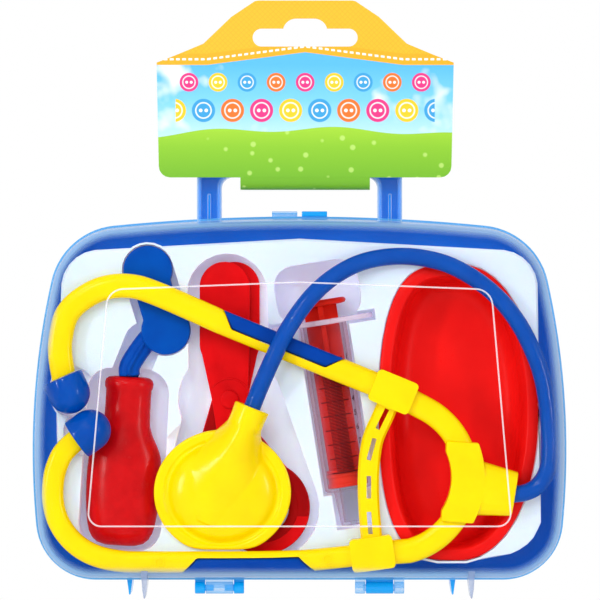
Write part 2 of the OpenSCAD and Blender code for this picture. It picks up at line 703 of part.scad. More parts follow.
// Yoke: a saddle round the hoop with the spout that the tube goes into
tube_exit = [96.3, 45.9];
yoke_root = [74.6, 49.4];
yoke_w0 = 26;
yoke_w1 = 20;
yoke_t = 11;
yoke_y = -tray_face - seat_gap - yoke_t/2;
function yoke_ring(t) = let(c = yoke_root + (tube_exit - yoke_root)*t,
        u = unit(tube_exit - yoke_root), w = yoke_w0 + (yoke_w1 - yoke_w0)*t)
    [for (s = oval(w, yoke_t, 16)) [c[0] - u[1]*s[0], yoke_y - s[1], c[1] + u[0]*s[0]]];
module yoke() {
    fitted() color(yellow) difference() {
        union() {
            skin([for (i = [0 : 2]) yoke_ring(i/2)]);
            intersection() {
                disc(hoop_c[0], hoop_c[1], hoop_r + arm_w/2 + 2.4, yoke_y - yoke_t/2, yoke_y + yoke_t/2);
                translate([hoop_c[0], yoke_y - yoke_t, hoop_c[1]]) rotate([0, 4, 0])
                    translate([hoop_r - arm_w/2 - 5, 0, -18]) cube([20, 2*yoke_t, 36]);
            }
        }
        disc(hoop_c[0], hoop_c[1], hoop_r - arm_w/2 - 1.6, yoke_y - yoke_t, yoke_y + yoke_t);
        sweep_flat(arc(hoop_c, hoop_r, 62, -76, 14), arm_y, arm_w + 0.3, arm_t + 0.2);
        translate([tube_exit[0] + 1, yoke_y, tube_exit[1]]) rotate([0, -90, 0])
            cylinder(r = tube_d/2 + socket_gap, h = tube_in + 1);
    }
}

// Tube: from the yoke round the right side and over the top to the chest piece
tube_in = 9;
tube_pts = [[96.3, -10.7, 45.9], [100.5, -10.7, 46.5], [104.8, -10.6, 48.3], [108, -10.5, 51.3],
    [110.4, -10.3, 55.4], [111.6, -10, 61], [111.8, -9.6, 72], [110.6, -9.4, 87], [108.2, -9.3, 99.5],
    [104.2, -9.3, 110.3], [98.3, -9.3, 121.8], [90.4, -9.3, 132.2], [80, -9.3, 141.2],
    [68, -9.3, 148], [57, -9.3, 151.2], [46.6, -9.6, 152.3], [36.2, -10.4, 151.6], [26, -11.6, 149],
    [16.2, -13.2, 143.8], [7.4, -15, 136.6], [0.2, -16.6, 128], [-6.5, -17.5, 117.6],
    [-11.9, -17.3, 106.6], [-15.6, -15, 98.4], [-18.4, -12.5, 91.8], [-20.6, -11.5, 86.3]];
spout_u = unit(spout_end - chest_c);
spout_y = -11.5;
tube_path = concat([[tube_exit[0] - tube_in + 0.5, yoke_y, tube_exit[1]]], spline(tube_pts, 2),
    [[spout_end[0], spout_y, spout_end[1]] - [spout_u[0], 0, spout_u[1]]*(tube_in - 0.5)]);
module sweep_round(path, d, n) {
    skin([for (i = [0 : len(path) - 1]) let(u = tangent(path, i), v = unit(cross(u, [0, 1, 0])),
            w = cross(u, v))
        [for (k = [0 : n - 1]) path[i] + d/2*(cos(360*k/n)*v + sin(360*k/n)*w)]]);
}
module stethoscope_tube() { fitted() color(blue) sweep_round(tube_path, tube_d, 10); }

// Chest piece: a hollow bell with a stepped dome, and the diaphragm disc behind it
bell_wall = 2;
bell_rim = 6;
dome_front = -13.4;
spout_r0 = 7.2;
spout_r1 = 8.1;
spout_start = 13;         // distance of the spout's root from the middle of the chest piece
module chest_bell() {
    rim_front = chest_back - 2 - bell_rim;
    fitted() color(yellow) difference() {
        union() {
            translate([chest_c[0], 0, chest_c[1]]) rotate([90, 0, 0]) rotate_extrude() polygon(concat(
                [[0, -chest_back + 2], [chest_r, -chest_back + 2], [chest_r, -rim_front - 1],
                 [chest_r - 1, -rim_front], [chest_r - 4, -rim_front], [chest_r - 5, -rim_front + 1.6]],
                [for (i = [0 : 6]) let(a = 15*i, r = (chest_r - 6)*cos(a))
                    [r, -rim_front + 1.6 + (-dome_front + rim_front - 1.6)*sin(a)]]));
            translate([chest_c[0], spout_y, chest_c[1]]) rotate([0, 90 - angle_of(spout_u), 0])
                translate([0, 0, spout_start]) cylinder(r1 = spout_r0, r2 = spout_r1,
                    h = dist(chest_c, spout_end) - spout_start);
        }
        disc(chest_c[0], chest_c[1], chest_r - 6, rim_front, chest_back);
        translate([spout_end[0], spout_y, spout_end[1]]) rotate([0, 90 - angle_of(spout_u), 0])
            translate([0, 0, -tube_in]) cylinder(r = tube_d/2 + socket_gap, h = tube_in + 1);
    }
}
module chest_diaphragm() {
    fitted() color(white) disc(chest_c[0], chest_c[1], chest_r - 0.8, chest_back - 1.9, chest_back);
}

// Hammer: a flat two-disc head on a bent neck, and a bottle-shaped handle
neck_top = hammer_lower + [-9, -6];
handle_form = [[0, 8.4, 6], [1.5, 10.6, 7.6], [6, 11, 8], [9, 10.4, 7.8], [22, 10.6, 8], [30, 14, 9],
               [36, 16.4, 9.4], [48, 16.8, 9.5], [60, 16.2, 9.4], [70, 14.6, 8.8],
               [74.5, 12, 7], [76, 8, 4.5]];
function handle_ring(f) = let(z = -f[0]*hammer_handle_l/76) [for (k = [0 : 23])
    let(x = f[1]*cos(-15*k), c = cos(hammer_tilt), s = sin(hammer_tilt))
    [hammer_collar[0] + x*c + z*s, hammer_handle_y + f[2]*sin(-15*k), hammer_collar[1] - x*s + z*c]];
shank_r = 4;
module hammer_handle() {
    fitted() color(red) difference() {
        skin([for (f = handle_form) handle_ring(f)]);
        shank(shank_r + socket_gap, 20, 1);
    }
}
module shank(r, l, over) {
    translate([hammer_collar[0], hammer_handle_y, hammer_collar[1]]) rotate([0, hammer_tilt, 0])
        translate([0, 0, -l]) cylinder(r = r, h = l + over);
}
module hammer_head() {
    y0 = hammer_head_y - hammer_head_t/2;
    y1 = hammer_head_y + hammer_head_t/2;
    fitted() color(blue) {
        disc(hammer_upper[0], hammer_upper[1], hammer_disc_r, y0, y1);
        disc(hammer_lower[0], hammer_lower[1], hammer_disc_r, y0, y1);
        slab(y0, y1) capsule(hammer_upper, hammer_lower, hammer_disc_r - 2.6);
        sweep_flat(spline([hammer_lower, hammer_lower + [-6.5, -2.5], hammer_lower + [-12, -9],
            hammer_collar + [0.2, 5], hammer_collar + [0, 0.6]], 4), hammer_head_y + 1, 9.6, 9);
        shank(shank_r, 18, 0.5);
    }
}

// Scissors: two crossed blades on a rivet, each with a finger loop
blade_half = blades_w/2;
blade_shift = 2.2;        // each blade's middle lies this far to one side of the pair's
module blade_outline(c, r) {
    difference() {
        union() {
            translate([-blade_shift, 0]) capsule([0, 25], [0, blade_l - blade_half + blade_shift],
                                                 blade_half - blade_shift);
            polygon([[-blade_half, 25], [-8, 0], [-5, -20], c + [1 - r, 4], c, c + [0.6*r, 0.75*r],
                     [12, -14], [8, 0], [blade_half - 2*blade_shift, 25]]);
            translate(c) circle(r);
        }
        translate(c) circle(r - loop_band);
        circle(rivet_r + run_gap);
    }
}
module scissor_blade_front() {
    fitted() color(red) translate([pivot_c[0], 0, pivot_c[1]])
        slab(scissor_front, scissor_front + blade_t) blade_outline(finger_c, finger_r);
}
module scissor_blade_rear() {
    fitted() color(red) translate([pivot_c[0], 0, pivot_c[1]])
        slab(scissor_front + blade_t + blade_gap, scissor_front + 2*blade_t + blade_gap)
            mirror([1, 0]) blade_outline(thumb_c, thumb_r);
}
rivet_head_r = 4;
module scissor_rivet() {
    fitted() color(red) {
        disc(pivot_c[0], pivot_c[1], rivet_r, scissor_front - 0.5, scissor_front + 2*blade_t + blade_gap);
        disc(pivot_c[0], pivot_c[1], rivet_head_r, scissor_front - 1.3, scissor_front - 0.1);
    }
}

// Syringe, drawn upright and then laid along its tilted axis
module upright() {
    translate([barrel_top[0], barrel_y, barrel_top[1]]) rotate([0, -barrel_tilt, 0]) children();
}
bore_r = barrel_d/2 - barrel_wall;
nozzle_r = 6.8;
module syringe_barrel() {
    fitted() color(clear) upright() difference() {
        union() {
            translate([0, 0, -barrel_l]) cylinder(d = barrel_d, h = barrel_l);
            intersection() {
                translate([0, 0, -2.3]) cylinder(r = flange_l/2, h = 2.3);
                translate([-flange_l/2, -barrel_d/2, -3]) cube([flange_l, barrel_d, 4]);
            }
            translate([0, 0, -barrel_l - nozzle_l])
                cylinder(r1 = nozzle_r - 1, r2 = nozzle_r, h = nozzle_l + 1);
        }
        translate([0, 0, barrel_wall - barrel_l]) cylinder(r = bore_r, h = barrel_l);
        translate([0, 0, -barrel_l - nozzle_l + 1.5]) cylinder(r = nozzle_r - 2.5, h = nozzle_l + 1);
        translate([0, 0, -barrel_l - nozzle_l - 1]) cylinder(r = 1.5, h = 5);
    }
}
seal_l = 6.3;
seal_gap = 0.2;
rod_w = 15;
rod_t = 2.4;
neck_r = 2.5;
module syringe_plunger() {
    bottom = barrel_wall - barrel_l + seal_gap;
    fitted() color(red) upright() {
        translate([0, 0, thumb_z]) cylinder(d = thumb_d, h = thumb_t);
        translate([-rod_w/2, -rod_t/2, bottom + seal_l])
            cube([rod_w, rod_t, thumb_z - bottom - seal_l + 0.5]);
        translate([-rod_t/2, -rod_w/2, bottom + seal_l])
            cube([rod_t, rod_w, thumb_z - bottom - seal_l + 0.5]);
        translate([0, 0, bottom + seal_l + 0.1]) cylinder(r = bore_r - 0.5, h = 1.6);
        translate([0, 0, bottom + 2.5]) cylinder(r = neck_r, h = seal_l);
    }
}
module piston_seal() {
    fitted() color(red) upright() translate([0, 0, barrel_wall - barrel_l + seal_gap]) difference() {
        rotate_extrude() polygon([[0, 0], [bore_r - run_gap, 0], [bore_r - run_gap, 1.6],
            [bore_r - 0.8, 2], [bore_r - 0.8, seal_l - 2], [bore_r - run_gap, seal_l - 1.6],
            [bore_r - run_gap, seal_l], [0, seal_l]]);
        translate([0, 0, 2.4]) cylinder(r = neck_r + socket_gap, h = seal_l);
    }
}

back_shell();
front_lid();
tray();
header_card();
ear_arm_upper();
ear_arm_lower();
arm_strip_upper();
arm_strip_lower();
ear_tip_upper();
ear_tip_lower();
headband();
hoop();
yoke();
stethoscope_tube();
chest_bell();
chest_diaphragm();
hammer_handle();
hammer_head();
scissor_blade_front();
scissor_blade_rear();
scissor_rivet();
syringe_barrel();
syringe_plunger();
piston_seal();
kidney_dish();
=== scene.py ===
"""Dresses the toy doctor case: two hinged shells, a formed tray and the toys in it.

The numbers here are millimetres, which MM turns into Blender's metres.
X runs to the right, Z up, and the case's front faces -Y.
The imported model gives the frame, and each piece here stands where its node does.
"""
import logging
import math
from contextlib import contextmanager
from dataclasses import dataclass, field
from enum import Enum
from typing import Callable, Iterator, Sequence

import bmesh
import bpy
from mathutils import Matrix, Vector


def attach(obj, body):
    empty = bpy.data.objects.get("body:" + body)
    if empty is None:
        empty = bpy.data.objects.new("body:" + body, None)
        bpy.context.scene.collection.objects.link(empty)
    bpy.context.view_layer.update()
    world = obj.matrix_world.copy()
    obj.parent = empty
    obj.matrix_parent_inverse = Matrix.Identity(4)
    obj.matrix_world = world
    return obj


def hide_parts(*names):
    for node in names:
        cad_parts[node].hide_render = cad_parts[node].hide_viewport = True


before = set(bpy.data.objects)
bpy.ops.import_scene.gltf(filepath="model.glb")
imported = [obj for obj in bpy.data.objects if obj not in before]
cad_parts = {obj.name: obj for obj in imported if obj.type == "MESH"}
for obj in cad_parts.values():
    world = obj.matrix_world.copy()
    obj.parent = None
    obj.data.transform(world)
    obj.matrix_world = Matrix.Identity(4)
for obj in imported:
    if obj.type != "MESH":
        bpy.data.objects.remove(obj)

log = logging.getLogger("doctor_case")

MM = 0.001
WHITE = (1, 1, 1, 1)
Point2 = tuple[float, float]
Point3 = tuple[float, float, float]
Ring = list[Point3]
Piece = bpy.types.Object
Colour = tuple[int, int, int]


# Drawing in the plane of the case

def circle(count: int, shift: float = 0.0) -> list[float]:
    """Returns angles at even steps round a circle, in radians."""
    return [2 * math.pi * (k + shift) / count for k in range(count)]


def quarter(steps: int) -> list[float]:
    """Returns angles at even steps from 0 to a quarter turn, in radians."""
    return [math.pi / 2 * i / steps for i in range(steps + 1)]


def heading(a: Sequence[float], b: Sequence[float]) -> tuple[float, float, float]:
    """Returns the direction from one point to another, as two shares of 1, and their distance."""
    size = math.dist(a, b)
    return (b[0] - a[0]) / size, (b[1] - a[1]) / size, size


def arc(centre: Point2, radius: float, start: float, end: float, steps: int) -> list[Point2]:
    """Returns points along an arc.

    Args:
        centre: The arc's centre.
        radius: Its radius.
        start: The angle of its first point, in degrees.
        end: The angle of its last point.
        steps: The number of stretches between its points.

    Returns:
        The arc's points, steps + 1 of them.
    """
    angles = [math.radians(start + (end - start) * i / steps) for i in range(steps + 1)]
    return [(centre[0] + radius * math.cos(a), centre[1] + radius * math.sin(a)) for a in angles]


def angle_of(x: float, z: float) -> float:
    """Returns a plane vector's angle in degrees."""
    return math.degrees(math.atan2(z, x))


def power_of(value: float, power: float) -> float:
    """Returns the power of a number's size, with the number's own sign."""
    return math.copysign(abs(value) ** power, value)


def spline(points: Sequence[Sequence[float]], steps: int) -> list[tuple[float, ...]]:
    """Returns a smooth curve through chosen points, as a Catmull-Rom spline.

    Args:
        points: The points, of two or three numbers each.
        steps: The number of stretches between one point and the next.

    Returns:
        The curve's points, first and last included.
    """
    size = range(len(points[0]))
    first = tuple(2 * points[0][k] - points[1][k] for k in size)
    last = tuple(2 * points[-1][k] - points[-2][k] for k in size)
    padded = [first, *points, last]
    curve = []
    for p0, p1, p2, p3 in zip(padded, padded[1:], padded[2:], padded[3:]):
        for j in range(steps):
            t = j / steps
            curve.append(tuple(0.5 * (2 * p1[k] + (p2[k] - p0[k]) * t
                                      + (2 * p0[k] - 5 * p1[k] + 4 * p2[k] - p3[k]) * t * t
                                      + (3 * p1[k] - p0[k] - 3 * p2[k] + p3[k]) * t ** 3)
                               for k in size))
    return [*curve, tuple(points[-1])]


def even(path: Sequence[Point2], spacing: float) -> list[Point2]:
    """Returns points at even distances along a path.

    Args:
        path: The path's points.
        spacing: The wished distance between points.

    Returns:
        The new points, with the path's own ends.
    """
    lengths = [0.0]
    for a, b in zip(path, path[1:]):
        lengths.append(lengths[-1] + math.dist(a, b))
    count = max(2, round(lengths[-1] / spacing))
    result, i = [], 0
    for k in range(count + 1):
        wanted = lengths[-1] * k / count
        while i < len(path) - 2 and lengths[i + 1] < wanted:
            i += 1
        t = (wanted - lengths[i]) / max(lengths[i + 1] - lengths[i], 1e-9)
        result.append(tuple(a + (b - a) * t for a, b in zip(path[i], path[i + 1])))
    return result


def oval(width: float, thick: float, count: int, power: float = 0.7) -> list[Point2]:
    """Returns an oval section with flattened sides, across and deep."""
    return [(width / 2 * power_of(math.cos(a), power), thick / 2 * power_of(math.sin(a), power))
            for a in circle(count, 0.5)]


def flat_sweep(path: Sequence[Point2], depth: float, section: Callable[[float], list[Point2]],
               ends: float = 1.0) -> list[Ring]:
    """Carries a section along a path in a plane of the case.

    Args:
        path: The path's points as x and z.
        depth: The plane's depth.
        section: Gives the section at a share of the path from 0 to 1.
        ends: How much the ends are rounded.

    Returns:
        The rings of the swept solid.
    """
    last = len(path) - 1

    def place(i: int, shrink: float, back: float) -> Ring:
        """Places the section at a point of the path.

        Args:
            i: The point's index.
            shrink: How far the ring is drawn in.
            back: How far it is moved along the path.

        Returns:
            The ring.
        """
        ux, uz, _ = heading(path[max(i - 1, 0)], path[min(i + 1, last)])
        x, z = path[i][0] + ux * back, path[i][1] + uz * back
        ring = []
        for across, deep in section(i / last):
            reach = math.hypot(across, deep)
            keep = max(reach - shrink, 0.1) / reach
            ring.append((x - uz * across * keep, depth - deep * keep, z + ux * across * keep))
        return ring

    rings = [place(i, 0, 0) for i in range(1, last)]
    if ends:
        rings = [place(0, ends * 0.3, ends * 0.3), place(0, 0, ends), *rings,
                 place(last, 0, -ends), place(last, ends * 0.3, -ends * 0.3)]
    return [place(0, ends, 0), *rings, place(last, ends, 0)]


# Modelling with Blender's operators

def deselect() -> None:
    """Leaves object mode with nothing selected."""
    if bpy.context.object and bpy.context.object.mode != "OBJECT":
        bpy.ops.object.mode_set(mode="OBJECT")
    bpy.ops.object.select_all(action="DESELECT")


def pick(*objects: Piece) -> None:
    """Selects objects alone and makes the first one active.

    Args:
        *objects: The objects.
    """
    deselect()
    for each in objects:
        each.select_set(True)
    bpy.context.view_layer.objects.active = objects[0]


@contextmanager
def editing(piece: Piece, action: str = "SELECT") -> Iterator[None]:
    """Opens a piece in edit mode with all of it selected or deselected, and closes it again.

    Args:
        piece: The piece.
        action: SELECT or DESELECT.

    Yields:
        Nothing, while the piece is open.
    """
    pick(piece)
    bpy.ops.object.mode_set(mode="EDIT")
    bpy.ops.mesh.select_all(action=action)
    yield
    bpy.ops.object.mode_set(mode="OBJECT")


def named(piece: Piece, name: str) -> Piece:
    """Names a piece and its mesh."""
    piece.name = piece.data.name = name
    return piece


def joined(name: str, *pieces: Piece) -> Piece:
    """Makes one object of several pieces, with their shapes as they are.

    Args:
        name: The new object's name.
        *pieces: The pieces.

    Returns:
        The one object.
    """
    pick(*pieces)
    if len(pieces) > 1:
        bpy.ops.object.join()
    return named(bpy.context.object, name)


def copied(source: Piece) -> Piece:
    """Copies an object with a mesh of its own.

    Args:
        source: The object.

    Returns:
        The copy.
    """
    copy = source.copy()
    copy.data = source.data.copy()
    bpy.context.scene.collection.objects.link(copy)
    return copy


def modify(piece: Piece, kind: str, **settings: object) -> None:
    """Adds a modifier to a piece with the given settings.

    Args:
        piece: The piece.
        kind: The modifier's type.
        **settings: The modifier's settings.
    """
    modifier = piece.modifiers.new(kind.title(), kind)
    for key, value in settings.items():
        setattr(modifier, key, value)


def bevel(piece: Piece, width: float, segments: int, sharp: float = 30) -> None:
    """Adds rounding to edges that are sharper than some degrees."""
    modify(piece, "BEVEL", width=width * MM, segments=segments, limit_method="ANGLE",
           angle_limit=math.radians(sharp))


def finish_piece(piece: Piece, name: str, smooth: float = 35) -> Piece:
    """Applies a piece's place and modifiers, turns its faces outwards and smooths it.

    Args:
        piece: The piece.
        name: The name it gets.
        smooth: Edges sharper than this many degrees stay sharp.

    Returns:
        The piece, with its place in its mesh.
    """
    pick(piece)
    for modifier in list(piece.modifiers):
        bpy.ops.object.modifier_apply(modifier=modifier.name)
    bpy.ops.object.transform_apply(location=True, rotation=True, scale=True)
    with editing(piece):
        bpy.ops.mesh.remove_doubles(threshold=1e-6)
        bpy.ops.mesh.normals_make_consistent(inside=False)
    bpy.ops.object.shade_smooth_by_angle(angle=math.radians(smooth))
    return named(piece, name)


def ring_loft(name: str, rings: Sequence[Ring], capped: bool = True, smooth: float = 35) -> Piece:
    """Models a piece by extruding a circle primitive from ring to ring.

    Args:
        name: The piece's name.
        rings: Its rings, all of the same count.
        capped: Whether the first and last rings are closed with faces.
        smooth: Edges sharper than this many degrees stay sharp.

    Returns:
        The finished piece.
    """
    deselect()
    count = len(rings[0])
    bpy.ops.mesh.primitive_circle_add(vertices=count, radius=1)
    piece = bpy.context.object
    bpy.ops.object.mode_set(mode="EDIT")
    mesh = bmesh.from_edit_mesh(piece.data)
    mesh.verts.ensure_lookup_table()
    current = list(mesh.verts)
    for vert, place in zip(current, rings[0]):
        vert.co = Vector(place) * MM
    for ring in rings[1:]:
        order = {tuple(round(c, 8) for c in v.co): i for i, v in enumerate(current)}
        bpy.ops.mesh.extrude_edges_move()
        mesh = bmesh.from_edit_mesh(piece.data)
        current = [v for v in mesh.verts if v.select]
        current.sort(key=lambda v: order[tuple(round(c, 8) for c in v.co)])
        for vert, place in zip(current, ring):
            vert.co = Vector(place) * MM
    if capped:
        bpy.ops.mesh.edge_face_add()
        bpy.ops.mesh.select_all(action="DESELECT")
        mesh = bmesh.from_edit_mesh(piece.data)
        mesh.verts.ensure_lookup_table()
        for vert in list(mesh.verts)[:count]:
            vert.select = True
        mesh.select_flush(True)
        bmesh.update_edit_mesh(piece.data)
        bpy.ops.mesh.edge_face_add()
    return finish_piece(piece, name, smooth)


def lathe(name: str, form: Sequence[Point2], count: int, place: Callable[..., Sequence[float]],
          capped: bool = True, smooth: float = 35) -> Piece:
    """Models a round piece from its profile.

    Args:
        name: The piece's name.
        form: Its profile as radii and levels along its axis.
        count: The number of points round each ring.
        place: Gives a point from two distances off the axis and a level.
        capped: Whether its two ends are closed with faces.
        smooth: Edges sharper than this many degrees stay sharp.

    Returns:
        The finished piece.
    """
    rings = [[place(r * math.cos(a), r * math.sin(a), level) for a in circle(count)] for r, level in form]
    return ring_loft(name, rings, capped, smooth)


def rounded_box(name: str, size: Point3, place: Point3, edge: float = 0.3, turn: float = 0) -> Piece:
    """Models a block with rounded edges.

    Args:
        name: The piece's name.
        size: Its size along X, Y and Z, before it is turned.
        place: Its middle.
        edge: The radius of its edges.
        turn: Its turn about Y in degrees, anticlockwise from the front.

    Returns:
        The finished piece.
    """
    deselect()
    bpy.ops.mesh.primitive_cube_add(size=1, location=Vector(place) * MM, rotation=(0, -math.radians(turn), 0))
    piece = bpy.context.object
    piece.scale = Vector(size) * MM
    bpy.ops.object.transform_apply(location=False, rotation=False, scale=True)
    modify(piece, "BEVEL", width=edge * MM, segments=4, limit_method="NONE")
    return finish_piece(piece, name)


def from_node(node: str, name: str, edge: float = 0.0, segments: int = 2, sharp: float = 30) -> Piece:
    """Copies a node's solid and rounds its edges, as the mould of a real one does.

    Args:
        node: The node's name.
        name: The new piece's name.
        edge: The radius of its edges, or 0 for none.
        segments: The number of steps across each rounded edge.
        sharp: Edges sharper than this many degrees are rounded.

    Returns:
        The finished piece.
    """
    deselect()
    piece = copied(bpy.data.objects[node])
    with editing(piece):
        bpy.ops.mesh.remove_doubles(threshold=2e-6)
        bpy.ops.mesh.dissolve_limited(angle_limit=math.radians(0.6))
    if edge:
        bevel(piece, edge, segments, sharp)
    piece.data.materials.clear()
    return finish_piece(piece, name)


def blended(name: str, pieces: Sequence[Piece], voxel: float, passes: int) -> Piece:
    """Makes one moulding of solids, with soft fillets where they meet.

    Args:
        name: The moulding's name.
        pieces: The solids.
        voxel: The size of the remesh.
        passes: The number of smoothing passes.

    Returns:
        The finished piece.
    """
    piece = joined(name, *pieces)
    modify(piece, "REMESH", mode="VOXEL", voxel_size=voxel * MM, use_smooth_shade=True)
    modify(piece, "SMOOTH", factor=0.5, iterations=passes)
    return finish_piece(piece, name, 80)


# Finishes

def rgb(red: int, green: int, blue: int) -> tuple[float, float, float, float]:
    """Returns a screen colour of 0 to 255 as the linear colour that a material holds."""
    return (*[((c / 255 + 0.055) / 1.055) ** 2.4 if c > 10 else c / 255 / 12.92
              for c in (red, green, blue)], 1.0)


class Wires:
    """Adds nodes to a tree and joins them."""

    def __init__(self, tree: bpy.types.NodeTree) -> None:
        """Keeps the tree that the nodes go into."""
        self.tree = tree

    def join(self, value: object, socket: bpy.types.NodeSocket) -> None:
        """Joins a socket to another one, or sets its value.

        Args:
            value: A value, a socket or a constant.
            socket: The input socket.
        """
        value = value.socket if isinstance(value, Value) else value
        if isinstance(value, bpy.types.NodeSocket):
            self.tree.links.new(value, socket)
        else:
            socket.default_value = value

    def add(self, kind: str, inputs: dict | None = None, **settings: object) -> bpy.types.Node:
        """Adds a node.

        Args:
            kind: Its type, without the ShaderNode in front.
            inputs: Values or other nodes' sockets, by its inputs' names or numbers.
            **settings: Its own settings.

        Returns:
            The node.
        """
        node = self.tree.nodes.new("ShaderNode" + kind)
        for key, value in settings.items():
            setattr(node, key, value)
        for key, value in (inputs or {}).items():
            self.join(value, node.inputs[key])
        return node

    def value(self, kind: str, output: str, inputs: dict | None = None, **settings: object) -> "Value":
        """Adds a node and returns one of its outputs."""
        return Value(self, self.add(kind, inputs, **settings).outputs[output])

    def math(self, operation: str, *terms: object) -> "Value":
        """Adds a Math node and returns its value."""
        return self.value("Math", "Value", dict(enumerate(terms)), operation=operation)

    def place(self) -> "Value":
        """Returns the object's own coordinates."""
        return self.value("TexCoord", "Object")

    def noise(self, scale: object, detail: float) -> "Value":
        """Returns noise in the object's own coordinates, from 0 to 1."""
        return self.value("TexNoise", "Fac", {"Vector": self.place(), "Scale": scale, "Detail": detail})

    def span(self, value: object, low: object, high: object, at_low: float = 0.0,
             at_high: float = 1.0) -> "Value":
        """Returns how far a value is between two others, as 0 to 1 or between two ends of choice."""
        return self.value("MapRange", "Result", {"Value": value, "From Min": low, "From Max": high,
                                                 "To Min": at_low, "To Max": at_high})

    def below(self, value: object, edge: object, soft: float = 0.15) -> "Value":
        """Returns 1 where a value is below an edge and 0 above it, softly."""
        return self.span(value, self.math("SUBTRACT", edge, soft), self.math("ADD", edge, soft), 1.0, 0.0)

    def bump(self, height: object, strength: float, distance: float) -> "Value":
        """Returns the normal of a bumpy surface."""
        return self.value("Bump", "Normal", {"Height": height, "Strength": strength, "Distance": distance})

    def mix(self, factor: object, a: object, b: object) -> "Value":
        """Adds a colour mix and returns its colour."""
        return Value(self, self.add("Mix", {0: factor, 6: a, 7: b}, data_type="RGBA").outputs[2])

    def ramp(self, factor: object, stops: Sequence[tuple[float, Colour]], step: bool = False) -> "Value":
        """Adds a colour ramp.

        Args:
            factor: What it reads.
            stops: Its places and colours.
            step: Whether it jumps from one colour to the next.

        Returns:
            Its colour.
        """
        node = self.add("ValToRGB", {"Fac": factor})
        node.color_ramp.interpolation = "CONSTANT" if step else "LINEAR"
        elements = node.color_ramp.elements
        while len(elements) < len(stops):
            elements.new(1)
        for element, (place, colour) in zip(elements, stops):
            element.position, element.color = place, rgb(*colour)
        return Value(self, node.outputs["Color"])

    def seen(self) -> "Value":
        """Tells the rays of the camera, gloss and glass from all others.

        Returns:
            1 on those rays and 0 on the others.
        """
        rays = self.add("LightPath").outputs
        return self.math("MAXIMUM", self.math("MAXIMUM", rays["Is Camera Ray"], rays["Is Glossy Ray"]),
                         rays["Is Transmission Ray"])


@dataclass(frozen=True)
class Value:
    """An output in a node tree that formulas are written with."""

    wires: Wires
    socket: bpy.types.NodeSocket

    def __add__(self, other: object) -> "Value":
        """Returns the sum."""
        return self.wires.math("ADD", self, other)

    def __sub__(self, other: object) -> "Value":
        """Returns the difference."""
        return self.wires.math("SUBTRACT", self, other)

    def __rsub__(self, other: object) -> "Value":
        """Returns what is left of a number."""
        return self.wires.math("SUBTRACT", other, self)

    def __mul__(self, other: object) -> "Value":
        """Returns the product."""
        return self.wires.math("MULTIPLY", self, other)

    def __truediv__(self, other: object) -> "Value":
        """Returns the quotient."""
        return self.wires.math("DIVIDE", self, other)

    def __abs__(self) -> "Value":
        """Returns the size without the sign."""
        return self.wires.math("ABSOLUTE", self)

    def fraction(self) -> "Value":
        """Returns what stands behind the point."""
        return self.wires.math("FRACT", self)


def started(name: str) -> tuple[bpy.types.Material, Wires, Callable[..., None]]:
    """Makes a material.

    Args:
        name: Its name.

    Returns:
        The material, its wires, and a function that sets its shader's inputs by their names.
    """
    made = bpy.data.materials.new(name)
    made.use_nodes = True
    w = Wires(made.node_tree)
    inputs = made.node_tree.nodes["Principled BSDF"].inputs

    def put(values: dict[str, object]) -> None:
        """Joins or sets the shader's inputs."""
        for key, value in values.items():
            w.join(value, inputs[key])
    return made, w, put


def moulded_group() -> bpy.types.NodeTree:
    """Builds the look of injection-moulded plastic: faint mottling, flow and fine scuffs.

    Returns:
        A group that puts out a colour, a roughness and a bump height.
    """
    group = bpy.data.node_groups.new("moulded_plastic", "ShaderNodeTree")
    number, colour = "NodeSocketFloat", "NodeSocketColor"
    for side, sockets in (
            ("INPUT", (("Colour", colour), ("Deep", colour), ("Mottle Size", number), ("Mottle", number),
                       ("Roughness", number))),
            ("OUTPUT", (("Colour", colour), ("Roughness", number), ("Height", number)))):
        for label, kind in sockets:
            group.interface.new_socket(label, in_out=side, socket_type=kind)
    w = Wires(group)
    inside = group.nodes.new("NodeGroupInput").outputs
    outside = group.nodes.new("NodeGroupOutput").inputs
    cloud, fine = w.noise(inside["Mottle Size"], 3.0), w.noise(1400.0, 2.0)
    spread = w.span(cloud, 0.35, 0.7)
    w.join(w.mix(spread * inside["Mottle"], inside["Colour"], inside["Deep"]), outside["Colour"])
    w.join((fine - 0.5) * 0.08 + inside["Roughness"] + (spread - 0.5) * 0.08, outside["Roughness"])
    w.join(fine * 0.25 + cloud, outside["Height"])
    return group


@dataclass(frozen=True)
class Plastic:
    """An opaque moulded plastic, glossy or satin."""

    name: str
    colour: Colour
    deep: Colour
    roughness: float
    mottle: float
    mottle_size: float
    bump: float = 0.05
    specular: float = 0.3
    glow: float = 0.06
    glow_depth: float = 3.0
    # lift sets a painted glow: emission in the plastic's own colour, though it is no lamp
    lift: float = 0.0

    def material(self, group: bpy.types.NodeTree) -> bpy.types.Material:
        """Builds the plastic's material.

        Args:
            group: The node group of moulded plastic.

        Returns:
            The material.
        """
        made, w, put = started(self.name)
        look = w.add("Group", node_tree=group)
        for key, value in (("Colour", rgb(*self.colour)), ("Deep", rgb(*self.deep)), ("Mottle", self.mottle),
                           ("Mottle Size", self.mottle_size), ("Roughness", self.roughness)):
            w.join(value, look.inputs[key])
        colour = look.outputs["Colour"]
        # The emission at lift strength is painted light, a glow that brightens the plastic
        put({"Base Color": colour, "Roughness": look.outputs["Roughness"],
             "Normal": w.bump(look.outputs["Height"], self.bump, 0.0006), "Specular IOR Level": self.specular,
             "Subsurface Weight": self.glow, "Subsurface Scale": self.glow_depth * MM,
             "Emission Color": colour, "Emission Strength": self.lift})
        return made


